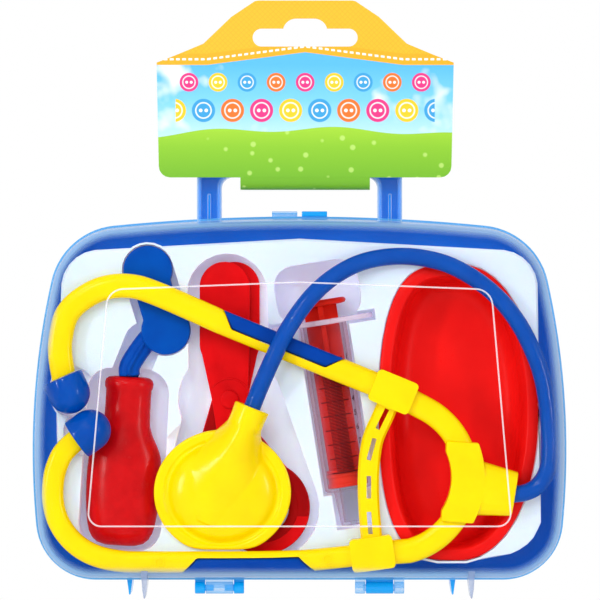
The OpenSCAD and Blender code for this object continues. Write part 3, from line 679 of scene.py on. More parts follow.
@dataclass(frozen=True)
class ClearPlastic:
    """A see-through styrene: nearly unseen face on, milky and bright where it curves away."""

    name: str
    face_colour: Colour
    edge_colour: Colour
    face_alpha: float
    edge_alpha: float
    roughness: float = 0.12
    rise: float = 1.0
    shade: float = 0.05
    specular: float = 0.3
    wave: float = 0.12
    wave_size: float = 22.0
    start: float = 0.0
    span: float = 1.0
    # lift sets a painted glow: emission in the plastic's own colour, though it is no lamp
    lift: float = 0.0

    def material(self) -> bpy.types.Material:
        """Builds the plastic's material.

        Returns:
            The material.
        """
        made, w, put = started(self.name)
        swirl, fine = w.noise(self.wave_size, 2.0), w.noise(700.0, 2.0)
        bump = w.bump(swirl, self.wave, 0.004)
        facing = w.value("LayerWeight", "Facing", {"Blend": 0.5, "Normal": bump})
        rise = w.math("POWER", w.span(facing, self.start, self.start + self.span), self.rise)
        alpha = rise * (self.edge_alpha - self.face_alpha) + self.face_alpha
        shadow = w.value("LightPath", "Is Shadow Ray")
        colour = w.mix(swirl, rgb(*self.face_colour), rgb(*self.edge_colour))
        # The emission at lift strength is painted light, a glow that brightens the plastic
        put({"Base Color": colour, "Roughness": fine * 0.06 + self.roughness, "Normal": bump,
             "Alpha": alpha * (shadow * (self.shade - 1.0) + 1.0), "Emission Color": colour,
             "Emission Strength": self.lift, "Specular IOR Level": self.specular, "IOR": 1.5})
        return made


PLASTICS = (
    Plastic("yellow_plastic", (255, 226, 0), (252, 200, 0), 0.2, 0.35, 60, glow=0.1, specular=0.14),
    Plastic("blue_plastic", (0, 78, 176), (0, 58, 152), 0.34, 0.5, 90, bump=0.08, specular=0.06),
    Plastic("tip_blue_plastic", (0, 77, 176), (0, 60, 156), 0.1, 0.4, 90, specular=0.12),
    Plastic("strip_blue_plastic", (4, 66, 164), (0, 50, 140), 0.4, 0.4, 90, specular=0.05),
    Plastic("tube_vinyl", (0, 78, 176), (0, 62, 156), 0.1, 0.4, 70, bump=0.03, specular=0.16, glow=0.05),
    # Painted shade: a darker red for the finger loops, standing in for the chest piece's shadow on them
    Plastic("loop_red_plastic", (166, 6, 10), (142, 2, 6), 0.34, 0.5, 70, bump=0.08, specular=0.06,
            glow=0.08),
    Plastic("red_plastic", (222, 12, 18), (190, 2, 10), 0.34, 0.5, 70, bump=0.08, specular=0.06, glow=0.08),
    Plastic("grip_red_plastic", (206, 12, 18), (176, 2, 8), 0.24, 0.6, 150, bump=0.2, specular=0.12),
    Plastic("dish_red_plastic", (238, 24, 22), (218, 12, 14), 0.32, 0.5, 42, bump=0.12, specular=0.08,
            glow=0.08),
    Plastic("rod_red_plastic", (228, 38, 22), (208, 26, 18), 0.36, 0.4, 90, specular=0.06, glow=0.1),
    Plastic("seal_rubber", (232, 52, 28), (214, 40, 22), 0.45, 0.4, 90, specular=0.06, glow=0.1),
    Plastic("white_plastic", (246, 246, 244), (232, 234, 238), 0.35, 0.4, 90),
    Plastic("scale_ink", (66, 10, 18), (88, 20, 26), 0.5, 0.4, 300, specular=0.1, glow=0.0),
    Plastic("tray_styrene", (236, 240, 252), (226, 232, 250), 0.3, 0.6, 26, bump=0.25, glow=0.3,
            glow_depth=12),
    # Painted light: the recess faces glow and carry a lavender tint, standing in for light through the thin
    # sheet and lifting their shade
    Plastic("recess_styrene", (246, 242, 255), (228, 222, 250), 0.3, 0.7, 30, bump=0.25, lift=0.16, glow=0.4,
            glow_depth=14))
CLEAR_PLASTICS = (
    ClearPlastic("clear_styrene", (190, 214, 240), (170, 208, 242), 0.0, 0.5, 0.08, 1.5, start=0.35, span=0.6,
                 specular=0.5),
    ClearPlastic("edge_clear_styrene", (160, 180, 216), (126, 192, 240), 0.0, 0.8, 0.08, 1.2, start=0.2,
                 span=0.3, specular=0.5),
    ClearPlastic("inner_clear_styrene", (206, 230, 252), (190, 222, 250), 0.0, 0.15, 0.1, 2.0),
    # Painted light: the lifts below make the blue shell, its hinge, feet and latch, both handle halves and
    # the lid's rim glow, brightening them where they lie in shade
    ClearPlastic("blue_clear_styrene", (12, 130, 228), (0, 102, 206), 0.9, 0.97, 0.12, 0.8, 0.3, specular=0.2,
                 lift=0.06),
    ClearPlastic("bright_blue_styrene", (0, 170, 238), (0, 146, 228), 0.9, 0.97, 0.12, 0.8, 0.3, lift=0.12),
    ClearPlastic("rim_clear_styrene", (120, 200, 246), (80, 176, 240), 0.35, 0.8, 0.12, 1.0, 0.25, lift=0.05),
    ClearPlastic("foot_clear_styrene", (170, 184, 214), (140, 162, 204), 0.45, 0.8, 0.12, 1.0, 0.25),
    ClearPlastic("handle_blue_styrene", (8, 142, 230), (0, 116, 214), 0.9, 0.97, 0.1, 0.8, 0.3, lift=0.12),
    ClearPlastic("thick_clear_styrene", (210, 236, 254), (186, 224, 252), 0.0, 0.9, 0.08, 0.9, specular=0.5,
                 lift=0.05),
    # Painted highlight: the clear raised window line is a part-opaque white, standing in for the light caught
    # along its step
    ClearPlastic("bead_clear_styrene", (255, 255, 255), (246, 240, 250), 0.4, 0.75, 0.2, 2.2, 0.1),
    ClearPlastic("syringe_clear_styrene", (244, 196, 216), (214, 150, 184), 0.01, 0.75, 0.12, 2.2, 0.02,
                 wave=0.05, wave_size=30, specular=0.5),
    ClearPlastic("flange_clear_styrene", (248, 236, 250), (240, 214, 234), 0.5, 0.8, 0.14, 1.1, 0.1))


class Palette:
    """All finishes of the case and its toys, built once, and how pieces get them."""

    def __init__(self) -> None:
        """Builds every material."""
        group = moulded_group()
        self.made = {plastic.name: plastic.material(group) for plastic in PLASTICS}
        self.made.update((clear.name, clear.material()) for clear in CLEAR_PLASTICS)

    def dress_faces(self, piece: Piece, finish: str, wanted: Callable[[Vector, Vector], bool]) -> None:
        """Gives some of a piece's faces a further finish.

        Args:
            piece: The piece.
            finish: The material's name.
            wanted: Tells from a face's middle in millimetres and its normal whether it gets it.
        """
        piece.data.materials.append(self.made[finish])
        index = len(piece.data.materials) - 1
        for face in piece.data.polygons:
            if wanted(face.center / MM, face.normal):
                face.material_index = index

    def put(self, piece: Piece, finish: str, body: str, *nodes: str) -> Piece:
        """Gives a piece a finish and a body to ride on, and lets it stand for its nodes.

        Args:
            piece: The piece.
            finish: The material's name.
            body: The body's name.
            *nodes: The nodes that the piece replaces.

        Returns:
            The piece.
        """
        piece.data.materials.clear()
        piece.data.materials.append(self.made[finish])
        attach(piece, body)
        if nodes:
            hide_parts(*nodes)
        return piece


# The case

@dataclass
class CaseOutline:
    """The outline of the case: long curves for its sides and top, and rounded corners."""

    width: float = 240
    bottom: float = 7
    top: float = 170.3
    side_radius: float = 350
    side_height: float = 65
    top_radius: float = 844
    top_corner: float = 32
    bottom_corner: float = 27

    def points(self, inset: float) -> list[Point2]:
        """Returns the outline drawn in by a distance, from the middle of the bottom.

        Args:
            inset: The distance.

        Returns:
            Its points as x and z, anticlockwise from the front.
        """
        side = (self.width / 2 - self.side_radius, self.side_height)
        crown = (0.0, self.top - self.top_radius)
        r1, r2 = self.top_radius - self.top_corner, self.side_radius - self.top_corner
        ux, uz, apart = heading(crown, side)
        along = (r1 * r1 - r2 * r2 + apart * apart) / (2 * apart)
        out = math.sqrt(r1 * r1 - along * along)
        upper = (crown[0] + along * ux + out * uz, crown[1] + along * uz - out * ux)
        z = self.bottom + self.bottom_corner
        reach = math.sqrt((self.side_radius - self.bottom_corner) ** 2 - (self.side_height - z) ** 2)
        lower = (side[0] + reach, z)
        a1 = angle_of(lower[0] - side[0], lower[1] - side[1])
        a2 = angle_of(upper[0] - side[0], upper[1] - side[1])
        a3 = angle_of(upper[0] - crown[0], upper[1] - crown[1])
        half = [(lower[0] * i / 10, self.bottom + inset) for i in range(1, 10)]
        half += arc(lower, self.bottom_corner - inset, -90, a1, 14)
        half += arc(side, self.side_radius - inset, a1, a2, 18)[1:-1]
        half += arc(upper, self.top_corner - inset, a2, a3, 14)
        half += arc(crown, self.top_radius - inset, a3, 90, 10)[1:-1]
        mirrored = [(-x, z) for x, z in reversed(half)]
        return [(0.0, self.bottom + inset), *half, (0.0, self.top - inset), *mirrored]


class Side(Enum):
    """Which half of the case a moulding is."""

    BACK = "back_shell"
    LID = "front_lid"


@dataclass
class ShellHalf:
    """One half of the case, the same moulding for both: its shell, bead, feet and handle half."""

    side: Side
    palette: Palette
    outline: CaseOutline = field(default_factory=CaseOutline)
    depth: float = 26
    wall: float = 1.4
    edge: float = 12
    rim_out: float = 0.9
    rim: float = 2.0
    draft: float = 0.8
    foot_places: tuple[float, float] = (76.5, -69)
    foot_height: float = 20.7
    hinge_x: float = 36
    hinge_z: float = 3.3
    handle_width: float = 92
    handle_foot: float = 167.3
    post: float = 11
    handle_top: float = 200.5
    bar: float = 12.5
    handle_depth: float = 9
    handle_wall: float = 1.8
    latch_x: float = -6.7

    def ring(self, inset: float, depth: float) -> Ring:
        """Returns the outline at an inset and a depth in front of the parting plane."""
        return [(x, -depth, z) for x, z in self.outline.points(inset)]

    def body(self) -> Piece:
        """Models the hollow shell with its rim and rounded face edge.

        Returns:
            The shell.
        """
        middle = self.rim_out + self.draft + self.edge
        start = self.depth - self.edge

        def round_edge(radius: float) -> list[Ring]:
            """Returns the rings of a rounded edge, from the rim to the face."""
            return [self.ring(middle - radius * math.cos(a), start + radius * math.sin(a))
                    for a in quarter(10)]

        rim = ((self.rim_out + self.wall, 0.1), (0.25, 0.1), (0, 0.35), (0, self.rim - 0.3), (0.25, self.rim),
               (self.rim_out, self.rim + 0.5))
        rings = [self.ring(middle + 10, self.depth - self.wall), *reversed(round_edge(self.edge - self.wall)),
                 *[self.ring(inset, depth) for inset, depth in rim], *round_edge(self.edge),
                 self.ring(middle + 10, self.depth)]
        return ring_loft("shell", rings, smooth=60)

    def bead(self) -> Piece:
        """Models the fine raised line that frames the window.

        Returns:
            The line.
        """
        def frame_line(grow: float, y: float) -> Ring:
            """Gives the window's outline.

            Args:
                grow: The distance by which it is grown.
                y: Its depth.

            Returns:
                The outline's points.
            """
            line = arc((88, 38), 6 + grow, -90, 0, 8) + arc((78, 130), 8 + grow, 5, 84, 8)
            line += [(0, 141 + grow)] + arc((-78, 130), 8 + grow, 96, 175, 8)
            line += arc((-88, 38), 6 + grow, 180, 270, 8)
            return [(x, y, z) for x, z in line]
        low, top = -self.depth + 0.1, -self.depth - 0.5
        form = ((0, low), (0, top + 0.2), (-0.25, top), (-0.45, top), (-0.7, top + 0.2), (-0.7, low),
                (0, low + 0.001))
        return ring_loft("bead", [frame_line(grow, y) for grow, y in form], capped=False, smooth=80)

    def foot(self, x: float) -> Piece:
        """Models a foot rib that tapers to its tip and follows the shell's lower edge.

        Args:
            x: The rib's middle.

        Returns:
            The rib.
        """
        profile = [(-2, 0), (-22, 0), (-22.3, 4), (-22.3, 12.4), (-19.5, 10.2), (-14, 9.4), (-2, 8.6)]
        rings = [[(x + s * (0.3 + 1.1 * min(z / 7, 1) + 0.2 * z / self.foot_height), y, z)
                  for y, z in profile] for s in (-1, 1)]
        piece = ring_loft("foot", rings)
        bevel(piece, 0.25, 2)
        return finish_piece(piece, "foot")

    def hinge_parts(self) -> list[Piece]:
        """Models the knuckles on this half's rim, with their pins.

        Returns:
            Their pieces.
        """
        made = []
        for x, width in ((-self.hinge_x, 12.4), (self.hinge_x - 8.75, 4.6), (self.hinge_x + 8.75, 4.6)):
            made.append(self.bar_along("knuckle", x - width / 2, x + width / 2, 2.7))
            made.append(rounded_box("knuckle_foot", (width, 2.55, 5.4), (x, -1.425, 6.0)))
        for s in (-1, 1):
            made.append(self.bar_along("pin", self.hinge_x + s * 2.6, self.hinge_x + s * 7.0, 1.5))
        return made

    def bar_along(self, name: str, x0: float, x1: float, radius: float) -> Piece:
        """Models a round bar on the hinge axis.

        Args:
            name: The piece's name.
            x0: Its left end.
            x1: Its right end.
            radius: Its radius.

        Returns:
            The piece.
        """
        edge = min(0.3, radius / 4)
        form = [(radius - edge, x0), (radius, x0 + edge), (radius, x1 - edge), (radius - edge, x1)]
        return lathe(name, form, 28, lambda y, z, x: (x, y, self.hinge_z + z))

    def handle_line(self, grow: float) -> list[Point2]:
        """Gives the outline of the handle half.

        Args:
            grow: How far it is drawn into the bar.

        Returns:
            The outline's points as x and z.
        """
        half, foot = self.handle_width / 2 - grow, self.handle_foot
        top, under = self.handle_top - grow, self.handle_top - self.bar + grow
        inside = self.handle_width / 2 - self.post + grow
        outer_r, inner_r = 9 - grow, 5 + grow
        return [(half, foot), *arc((half - outer_r, top - outer_r), outer_r, 0, 90, 8),
                *arc((outer_r - half, top - outer_r), outer_r, 90, 180, 8), (-half, foot), (-inside, foot),
                *arc((inner_r - inside, under - inner_r), inner_r, 180, 90, 8),
                *arc((inside - inner_r, under - inner_r), inner_r, 90, 0, 8), (inside, foot)]

    def handle(self) -> Piece:
        """Models the channel that this half adds to the handle.

        Returns:
            The channel.
        """
        wall, front = self.handle_wall, -self.handle_depth
        # How far the line is grown, its depth, and how far its bar keeps from the parting plane
        form = ((wall, front + wall, 0), (wall, -0.1, 0.5), (0.0, -0.1, 0.5), (0.0, front + 2.6, 0),
                (0.3, front + 1.3, 0), (0.9, front + 0.5, 0), (1.7, front + 0.1, 0), (2.6, front, 0))
        rings = [[(x, y - (back if abs(x) < 33 else 0), z) for x, z in self.handle_line(grow)]
                 for grow, y, back in form]
        return ring_loft("handle", rings, smooth=50)

    def gussets(self) -> list[Piece]:
        """Models the ribs at the feet of the posts and returns them."""
        return [rounded_box("gusset", (1.4, 7, 13), (x, -5, 173.8)) for x in (-40.5, 40.5)]

    def latch(self) -> list[Piece]:
        """Models the tab that reaches over the other half's rim.

        Returns:
            The tab's parts.
        """
        return [rounded_box("latch_root", (11.4, 1.9, 2.6), (self.latch_x, -1.05, 170.6), 0.3),
                rounded_box("latch_lip", (11.4, 5.4, 1.3), (self.latch_x, 0.7, 171.95), 0.35),
                rounded_box("latch_hook", (11.4, 1.0, 1.5), (self.latch_x, 2.9, 171.15), 0.25)]

    def build(self) -> list[Piece]:
        """Models this half, dresses it, and rides it on its own body.

        Returns:
            Its pieces.
        """
        back = self.side is Side.BACK
        groups = (
            ("shell", "blue_clear", "clear", [self.body()]),
            # The lid's window line gets the white finish of a painted highlight
            ("window_bead", "blue_clear", "bead_clear", [self.bead()]),
            ("foot_ribs", "bright_blue", "foot_clear", [self.foot(x) for x in self.foot_places]),
            ("hinge_knuckles", "bright_blue", "rim_clear", self.hinge_parts()),
            ("handle_half", "handle_blue", "thick_clear", [self.handle(), *self.gussets()]),
            ("latch", "bright_blue", "rim_clear", self.latch()))
        pieces = []
        for label, back_finish, lid_finish, parts in groups:
            piece = joined(f"{self.side.value}_{label}", *parts)
            if back:
                piece.data.transform(Matrix.Rotation(math.pi, 4, "Z"))
            finish = f"{back_finish if back else lid_finish}_styrene"
            pieces.append(self.palette.put(piece, finish, "case" if back else "lid"))
        if not back:
            middle = (self.outline.bottom + self.outline.top) / 2
            self.palette.dress_faces(pieces[0], "edge_clear_styrene", lambda c, n: n.y > -0.93)
            self.palette.dress_faces(pieces[0], "inner_clear_styrene",
                                     lambda c, n: n.y > 0.05 or n.x * c.x + n.z * (c.z - middle) < 0)
            self.palette.dress_faces(pieces[0], "rim_clear_styrene", lambda c, n: c.y > -2.6)
        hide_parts(self.side.value)
        return pieces


# Tray and card

@dataclass
class Tray:
    """The white formed sheet that holds the toys in recesses with soft edges."""

    palette: Palette
    face: float = -4.9
    half_width: float = 114
    bottom: float = 16
    top: float = 160.3
    soft_side: float = 107.5

    def round_corners(self, piece: Piece, radius: float = 34, inset: float = 2.4) -> None:
        """Draws the sheet's corners and side edges in, clear of the recesses.

        Args:
            piece: The sheet.
            radius: The radius that the corners come near to.
            inset: How far the side edges move.
        """
        middle, half_height = (self.bottom + self.top) / 2, (self.top - self.bottom) / 2
        for vertex in piece.data.vertices:
            x, z = vertex.co.x / MM, vertex.co.z / MM - middle
            reach_x, reach_z = abs(x) - self.half_width + radius, abs(z) - half_height + radius
            shift_x = inset * max(0.0, abs(x) - self.soft_side) / (self.half_width - self.soft_side)
            shift_z = 0.0
            if reach_x > 0 and reach_z > 0 and math.hypot(reach_x, reach_z) > radius:
                excess = 0.85 * (1 - radius / math.hypot(reach_x, reach_z))
                shift_x += excess * reach_x
                shift_z = excess * reach_z
            vertex.co.x -= math.copysign(shift_x, x) * MM
            vertex.co.z -= math.copysign(shift_z, z) * MM

    def build(self) -> list[Piece]:
        """Models the tray from its solid, with soft edges, and dresses it.

        Returns:
            Its piece.
        """
        piece = from_node("tray", "tray_sheet")
        bevel(piece, 0.42, 3, 28)
        finish_piece(piece, "tray_sheet", 40)
        self.round_corners(piece)
        self.palette.put(piece, "tray_styrene", "case", "tray")
        # Painted light: faces deeper than the tray's face get the glowing lavender finish instead of falling
        # into shade
        self.palette.dress_faces(piece, "recess_styrene", lambda c, n: c.y > self.face + 2 and abs(c.x) < 111
                                 and self.bottom + 3 < c.z < self.top - 3)
        return [piece]


@dataclass
class HeaderCard:
    """The printed card over the handle: a roof, a sky with two rows of buttons, and a grassy band."""

    palette: Palette
    middle: float = 2.5
    front: float = -9.8
    eaves: float = 238
    pitch: float = 13

    def sky(self, w: Wires, x: Value, z: Value) -> Value:
        """Builds the sky, paler towards the ground, with soft clouds and two rows of buttons.

        Args:
            w: The material's wires.
            x: The distance from the card's middle, in millimetres.
            z: The height.

        Returns:
            The colour.
        """
        colour = w.ramp(w.span(z, 206.0, 238.0), [(0.0, (190, 234, 252)), (0.5, (122, 208, 244)),
                                                  (1.0, (84, 186, 236))])
        colour = w.mix(w.span(w.noise(46.0, 3.0), 0.55, 0.66) * 0.75, colour, WHITE)
        for row, (level, shift, radius) in enumerate(((217.6, 0.0, 5.2), (230.2, 6.5, 4.2))):
            count = (x + (78.0 + shift)) / self.pitch
            cell = w.math("FLOOR", count)
            across, up = (count - cell - 0.5) * self.pitch, z - level
            reach = w.math("SQRT", across * across + up * up)
            turn = w.math("MODULO", cell + float(2 * row), 4.0) / 4.0
            paint = w.ramp(turn, [(0.0, (236, 40, 130)), (0.25, (255, 206, 20)), (0.5, (48, 160, 220)),
                                  (0.75, (246, 116, 24))], step=True)
            shown = w.below(reach, radius) * w.below(abs(x), 58.0)
            colour = w.mix(shown, colour, paint)
            ring = w.below(reach, radius * 0.72) * (1.0 - w.below(reach, radius * 0.6))
            colour = w.mix(ring * shown * 0.8, colour, WHITE)
            hole_x = abs(across) - radius * 0.24
            hole = w.math("SQRT", hole_x * hole_x + up * up)
            colour = w.mix(w.below(hole, radius * 0.15) * shown, colour, WHITE)
        return colour

    def print_material(self) -> bpy.types.Material:
        """Builds the card's printed face from its own coordinates.

        Returns:
            The material.
        """
        made, w, put = started("card_print")
        axes = w.add("SeparateXYZ", {"Vector": w.place()}).outputs
        x = (Value(w, axes["X"]) - self.middle * MM) * 1000.0
        z = Value(w, axes["Z"]) * 1000.0
        colour = self.sky(w, x, z)

        # Grass with a waved upper edge, darker towards the ground, strewn with pale dots
        edge = w.math("SINE", x * 0.115) * 1.1 + x * x * -0.0006 + 209.3
        grass = w.ramp(w.span(z, 188.0, 210.0), [(0.0, (112, 180, 22)), (0.6, (136, 198, 30)),
                                                 (1.0, (162, 214, 42))])
        tufts = w.value("TexVoronoi", "Distance", {"Vector": w.place(), "Scale": 130.0, "Randomness": 0.9})
        grass = w.mix(w.below(tufts, 0.16, 0.03) * 0.6, grass, rgb(206, 240, 130))
        colour = w.mix(w.below(z, edge), colour, grass)

        # Roof: a lattice of thin lines on yellow above stitched eaves
        eaves = w.math("MAXIMUM", 44.0 - abs(x), 0.0) * 0.13 + self.eaves
        rising, falling = (1.0 - w.below(abs(((z * lean + x) * 0.42).fraction() - 0.5), 0.44, 0.03)
                           for lean in (1.0, -1.0))
        roof = w.mix(w.math("MAXIMUM", rising, falling) * 0.45, rgb(255, 188, 26), rgb(244, 156, 12))
        above = 1.0 - w.below(z, eaves)
        colour = w.mix(above, colour, roof)
        colour = w.mix(w.below(z, eaves + 5.0) * above, colour, rgb(255, 176, 8))
        dash = w.below(abs((x * 0.36).fraction() - 0.5), 0.3, 0.05)
        colour = w.mix(w.below(abs(z - (eaves + 2.5)), 0.45) * dash, colour, WHITE)

        paper = w.noise(900.0, 3.0)
        put({"Base Color": colour, "Roughness": paper * 0.1 + 0.32, "Normal": w.bump(paper, 0.05, 0.0003),
             "Coat Weight": 0.15})
        return made

    def plain_material(self) -> bpy.types.Material:
        """Builds the card's unprinted back, a pale grey board with faint fibres.

        Returns:
            The material.
        """
        made, w, put = started("card_board")
        fibres = w.noise(420.0, 4.0)
        put({"Base Color": w.mix(fibres, rgb(216, 213, 204), rgb(200, 197, 188)),
             "Roughness": fibres * 0.2 + 0.5, "Normal": w.bump(fibres, 0.1, 0.0003)})
        return made

    def build(self) -> list[Piece]:
        """Models the card from its solid, prints its face, and rides it on the lid.

        Returns:
            Its piece.
        """
        piece = from_node("header_card", "header_card_board")
        piece.data.materials.append(self.print_material())
        piece.data.materials.append(self.plain_material())
        for face in piece.data.polygons:
            centre, normal = face.center / MM, face.normal
            front = normal.y < -0.5 and centre.y < self.front + 0.3
            loop = centre.z < 202.5 and (normal.z < -0.1 or centre.y < self.front)
            face.material_index = 0 if front or loop else 1
        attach(piece, "lid")
        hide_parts("header_card")
        return [piece]


# Stethoscope

@dataclass
class Stethoscope:
    """The toy stethoscope: two bowed arms, a hoop with its yoke, a headband, ear tips and a bell."""

    palette: Palette
    arm_y: float = -9.2
    arm_width: float = 11
    arm_thick: float = 8
    lower_width: float = 9.8
    strip: float = 7
    lean: float = 0.93
    sleeve_upper: Point2 = (41.9, 91.7)
    sleeve_lower: Point2 = (32.5, 19.4)
    hoop_middle: Point2 = (40.7, 53.6)
    hoop_radius: float = 34.2
    tip_y: float = -11.4
    tip_radius: float = 9.4
    tip_side: float = 7.6
    tip_upper: tuple[Point2, float] = ((-106.3, 98.4), -65.8)
    tip_lower: tuple[Point2, float] = ((-100.1, 69.9), 35.3)
    bell_middle: Point2 = (-34.7, 51.3)
    dome_middle: Point2 = (-34.6, 46.4)
    squash: float = 0.915
    rest_height: float = 24
    spout_end: Point2 = (-21.2, 84.8)
    spout_y: float = -11.5
    bore_depth: float = 10.4
    tube_inside: float = 8.5
    tube_exit: Point3 = (96.3, -10.7, 45.9)
    tube_diameter: float = 7.7

    def yellow(self, piece: Piece, node: str) -> Piece:
        """Dresses a piece in yellow and lets it stand for its node."""
        return self.palette.put(piece, "yellow_plastic", "case", node)

    def arm_with_recess(self, name: str, path: list[Point2], width: float, start: Point2, end: Point2,
                        side: int) -> Piece:
        """Models an arm whose outer side is cut away where its blue strip lies.

        Args:
            name: The piece's name.
            path: The arm's path.
            width: Its width.
            start: The point of the arm's middle where the strip's short side starts.
            end: The point where it ends.
            side: 1 where the strip is on the upper side, -1 where on the lower.

        Returns:
            The finished arm.
        """
        dense = even(path, 1.1)
        full = oval(width, self.arm_thick, 32)
        ux, uz, size = heading(start, end)

        def section(share: float) -> list[Point2]:
            """Gives the whole section, or what is left of it beside the strip.

            Args:
                share: The share of the arm's path, from 0 to 1.

            Returns:
                The section's points, across and deep.
            """
            x, z = dense[round(share * (len(dense) - 1))]
            along = (x - start[0]) * ux + (z - start[1]) * uz
            off = abs((z - start[1]) * ux - (x - start[0]) * uz)
            if off > 6:
                return full
            limit = width / 2 - self.strip + max(-along, along - size, 0.0) / self.lean
            return [(side * min(side * a, limit + 0.0005 * k), d) for k, (a, d) in enumerate(full)]
        return ring_loft(name, flat_sweep(dense, self.arm_y, section, 1.2), smooth=50)

    def strip_between(self, name: str, width: float, start: Point2, end: Point2, side: int) -> Piece:
        """Models a blue strip whose ends lean outwards, in the step of an arm.

        Args:
            name: The piece's name.
            width: The arm's width.
            start: The point of the arm's middle where the strip's short side starts.
            end: The point where it ends.
            side: 1 where the strip is on the upper side, -1 where on the lower.

        Returns:
            The finished strip.
        """
        ux, uz, size = heading(start, end)
        reach, low, high = self.strip * self.lean, width / 2 - self.strip + 0.15, width / 2 - 0.15
        steps = [-reach + 0.5, -reach + 1.5, -reach / 2, 0.15]
        rings = []
        for along in [*steps, *[size - s for s in reversed(steps)]]:
            base = low + max(0.1 - along, along - size + 0.1, 0.0) / self.lean
            turns = [(side * (base + high) / 2 + across, deep)
                     for across, deep in oval(high - base, self.arm_thick - 1, 24, 0.45)]
            rings.append([(start[0] + ux * along - uz * t, self.arm_y - deep, start[1] + uz * along + ux * t)
                          for t, deep in turns])
        return ring_loft(name, rings)

    def tip_axis(self, base: Point2, turn: float, y: float) -> tuple[Vector, Vector]:
        """Returns the middle of a tip's face at a depth, and the direction in which the tip points."""
        angle = math.radians(turn)
        return Vector((base[0], y, base[1])), Vector((math.cos(angle), 0, math.sin(angle)))

    def cut_off(self, arm: Piece, base: Point2, turn: float) -> None:
        """Bisects an arm's end with the face of its tip and closes the cut.

        Args:
            arm: The arm.
            base: The middle of the tip's face.
            turn: The angle in which the tip points, in degrees.
        """
        middle, axis = self.tip_axis(base, turn, self.arm_y)
        with editing(arm, "DESELECT"):
            bpy.ops.mesh.select_mode(type="VERT")
        for vert in arm.data.vertices:
            vert.select = (vert.co / MM - middle).length < 16
        bpy.ops.object.mode_set(mode="EDIT")
        bpy.ops.mesh.select_mode(type="VERT")
        bpy.ops.mesh.bisect(plane_co=middle * MM, plane_no=axis, use_fill=True, clear_outer=True)
        bpy.ops.object.mode_set(mode="OBJECT")
        finish_piece(arm, arm.name, 50)

    def mark(self, x: float, z: float, radius: float = 2.3) -> Piece:
        """Models a small round moulding mark on an arm's front.

        Args:
            x: The mark's middle.
            z: Its height.
            radius: Its radius.

        Returns:
            The mark.
        """
        front = self.arm_y - self.arm_thick / 2
        form = [(0.3, front + 0.3), (radius, front + 0.3), (radius, front - 0.2), (radius - 0.3, front - 0.4),
                (radius - 0.8, front - 0.3), (radius - 0.9, front), (0.3, front)]
        return lathe("mark", form, 20, lambda u, v, y: (x + u, y, z + v), smooth=50)

    def arms(self) -> list[Piece]:
        """Models both arms and their blue strips.

        Returns:
            The dressed pieces.
        """
        upper = spline([(-104.9, 94.6), (-107.2, 109), (-106.4, 119), (-103.5, 127.2), (-96.5, 133.8),
                        (-87, 138.2), (-76, 139), (-64, 135.6), (-35, 122.9)], 8)
        upper += [(-20, 116.8), (0, 108.7), self.sleeve_upper]
        lower = spline([(-97.4, 72.3), (-104.4, 66), (-107.6, 61), (-110, 53), (-110.3, 42.5), (-107.4, 32.6),
                        (-101, 24.2), (-92, 18.6), (-80, 15.8), (-65, 15.4), (-22, 15.4), (2, 16)], 8)
        lower += [(20, 17.8), self.sleeve_lower]
        pieces = []
        for name, path, width, a, b, side, tip, marks in (
                ("upper", upper, self.arm_width, (-30, 120.9), (12, 103.9), 1, self.tip_upper, ()),
                ("lower", lower, self.lower_width, (-46, 15.3), (-0.3, 15.7), -1, self.tip_lower,
                 ((-62.5, 15.4), (12.5, 16.9)))):
            arm = self.arm_with_recess(f"arm_{name}", path, width, a, b, side)
            self.cut_off(arm, *tip)
            arm = joined(arm.name, arm, *[self.mark(*place) for place in marks])
            pieces.append(self.yellow(arm, f"ear_arm_{name}"))
            strip = self.strip_between(f"strip_{name}", width, a, b, side)
            pieces.append(self.palette.put(strip, "strip_blue_plastic", "case", f"arm_strip_{name}"))
        return pieces

    def hoop(self) -> Piece:
        """Models the hoop that continues both arms round the right side.

        Returns:
            The dressed hoop.
        """
        angle = math.radians(-28)
        start = (self.sleeve_upper[0] + 1.4 * math.cos(angle), self.sleeve_upper[1] + 1.4 * math.sin(angle))
        path = [start, *arc(self.hoop_middle, self.hoop_radius, 62, -76, 56),
                (self.sleeve_lower[0] + 1.4, self.sleeve_lower[1])]
        rings = flat_sweep(path, self.arm_y, lambda share: oval(self.arm_width, self.arm_thick, 32), 0)
        return self.yellow(ring_loft("hoop_bow", rings, smooth=60), "hoop")

    def tips(self) -> list[Piece]:
        """Models the two domed ear tips.

        Returns:
            The dressed tips.
        """
        pieces = []
        radius, level = self.tip_radius, self.tip_side + 0.3
        form = [(0.5, 0.3), (radius - 1.0, 0.3), (radius - 0.3, 0.5), (radius, 1.2),
                *[(radius * math.cos(a), level + radius * math.sin(a)) for a in quarter(16)[:-1]],
                (0.4, level + radius)]
        for name, (base, turn) in (("upper", self.tip_upper), ("lower", self.tip_lower)):
            start, axis = self.tip_axis(base, turn, self.tip_y)
            side = Vector((0, 1, 0))
            across = axis.cross(side)
            piece = lathe(f"tip_{name}", form, 40, lambda u, v, h: start + axis * h + side * u + across * v,
                          smooth=50)
            pieces.append(self.palette.put(piece, "tip_blue_plastic", "case", f"ear_tip_{name}"))
        return pieces

    def on_dome(self, across: float, up: float, y: float) -> Point3:
        """Places a point of the chest piece, whose foot is flattened a little where it rests.

        Args:
            across: Its distance to the right of the middle.
            up: Its distance above the middle.
            y: Its depth.

        Returns:
            The point.
        """
        x, z = self.dome_middle[0] + across, self.dome_middle[1] + up * self.squash
        if z < self.rest_height:
            z = self.rest_height - 3.7 * math.tanh((self.rest_height - z) / 3.7)
        return x, y, z

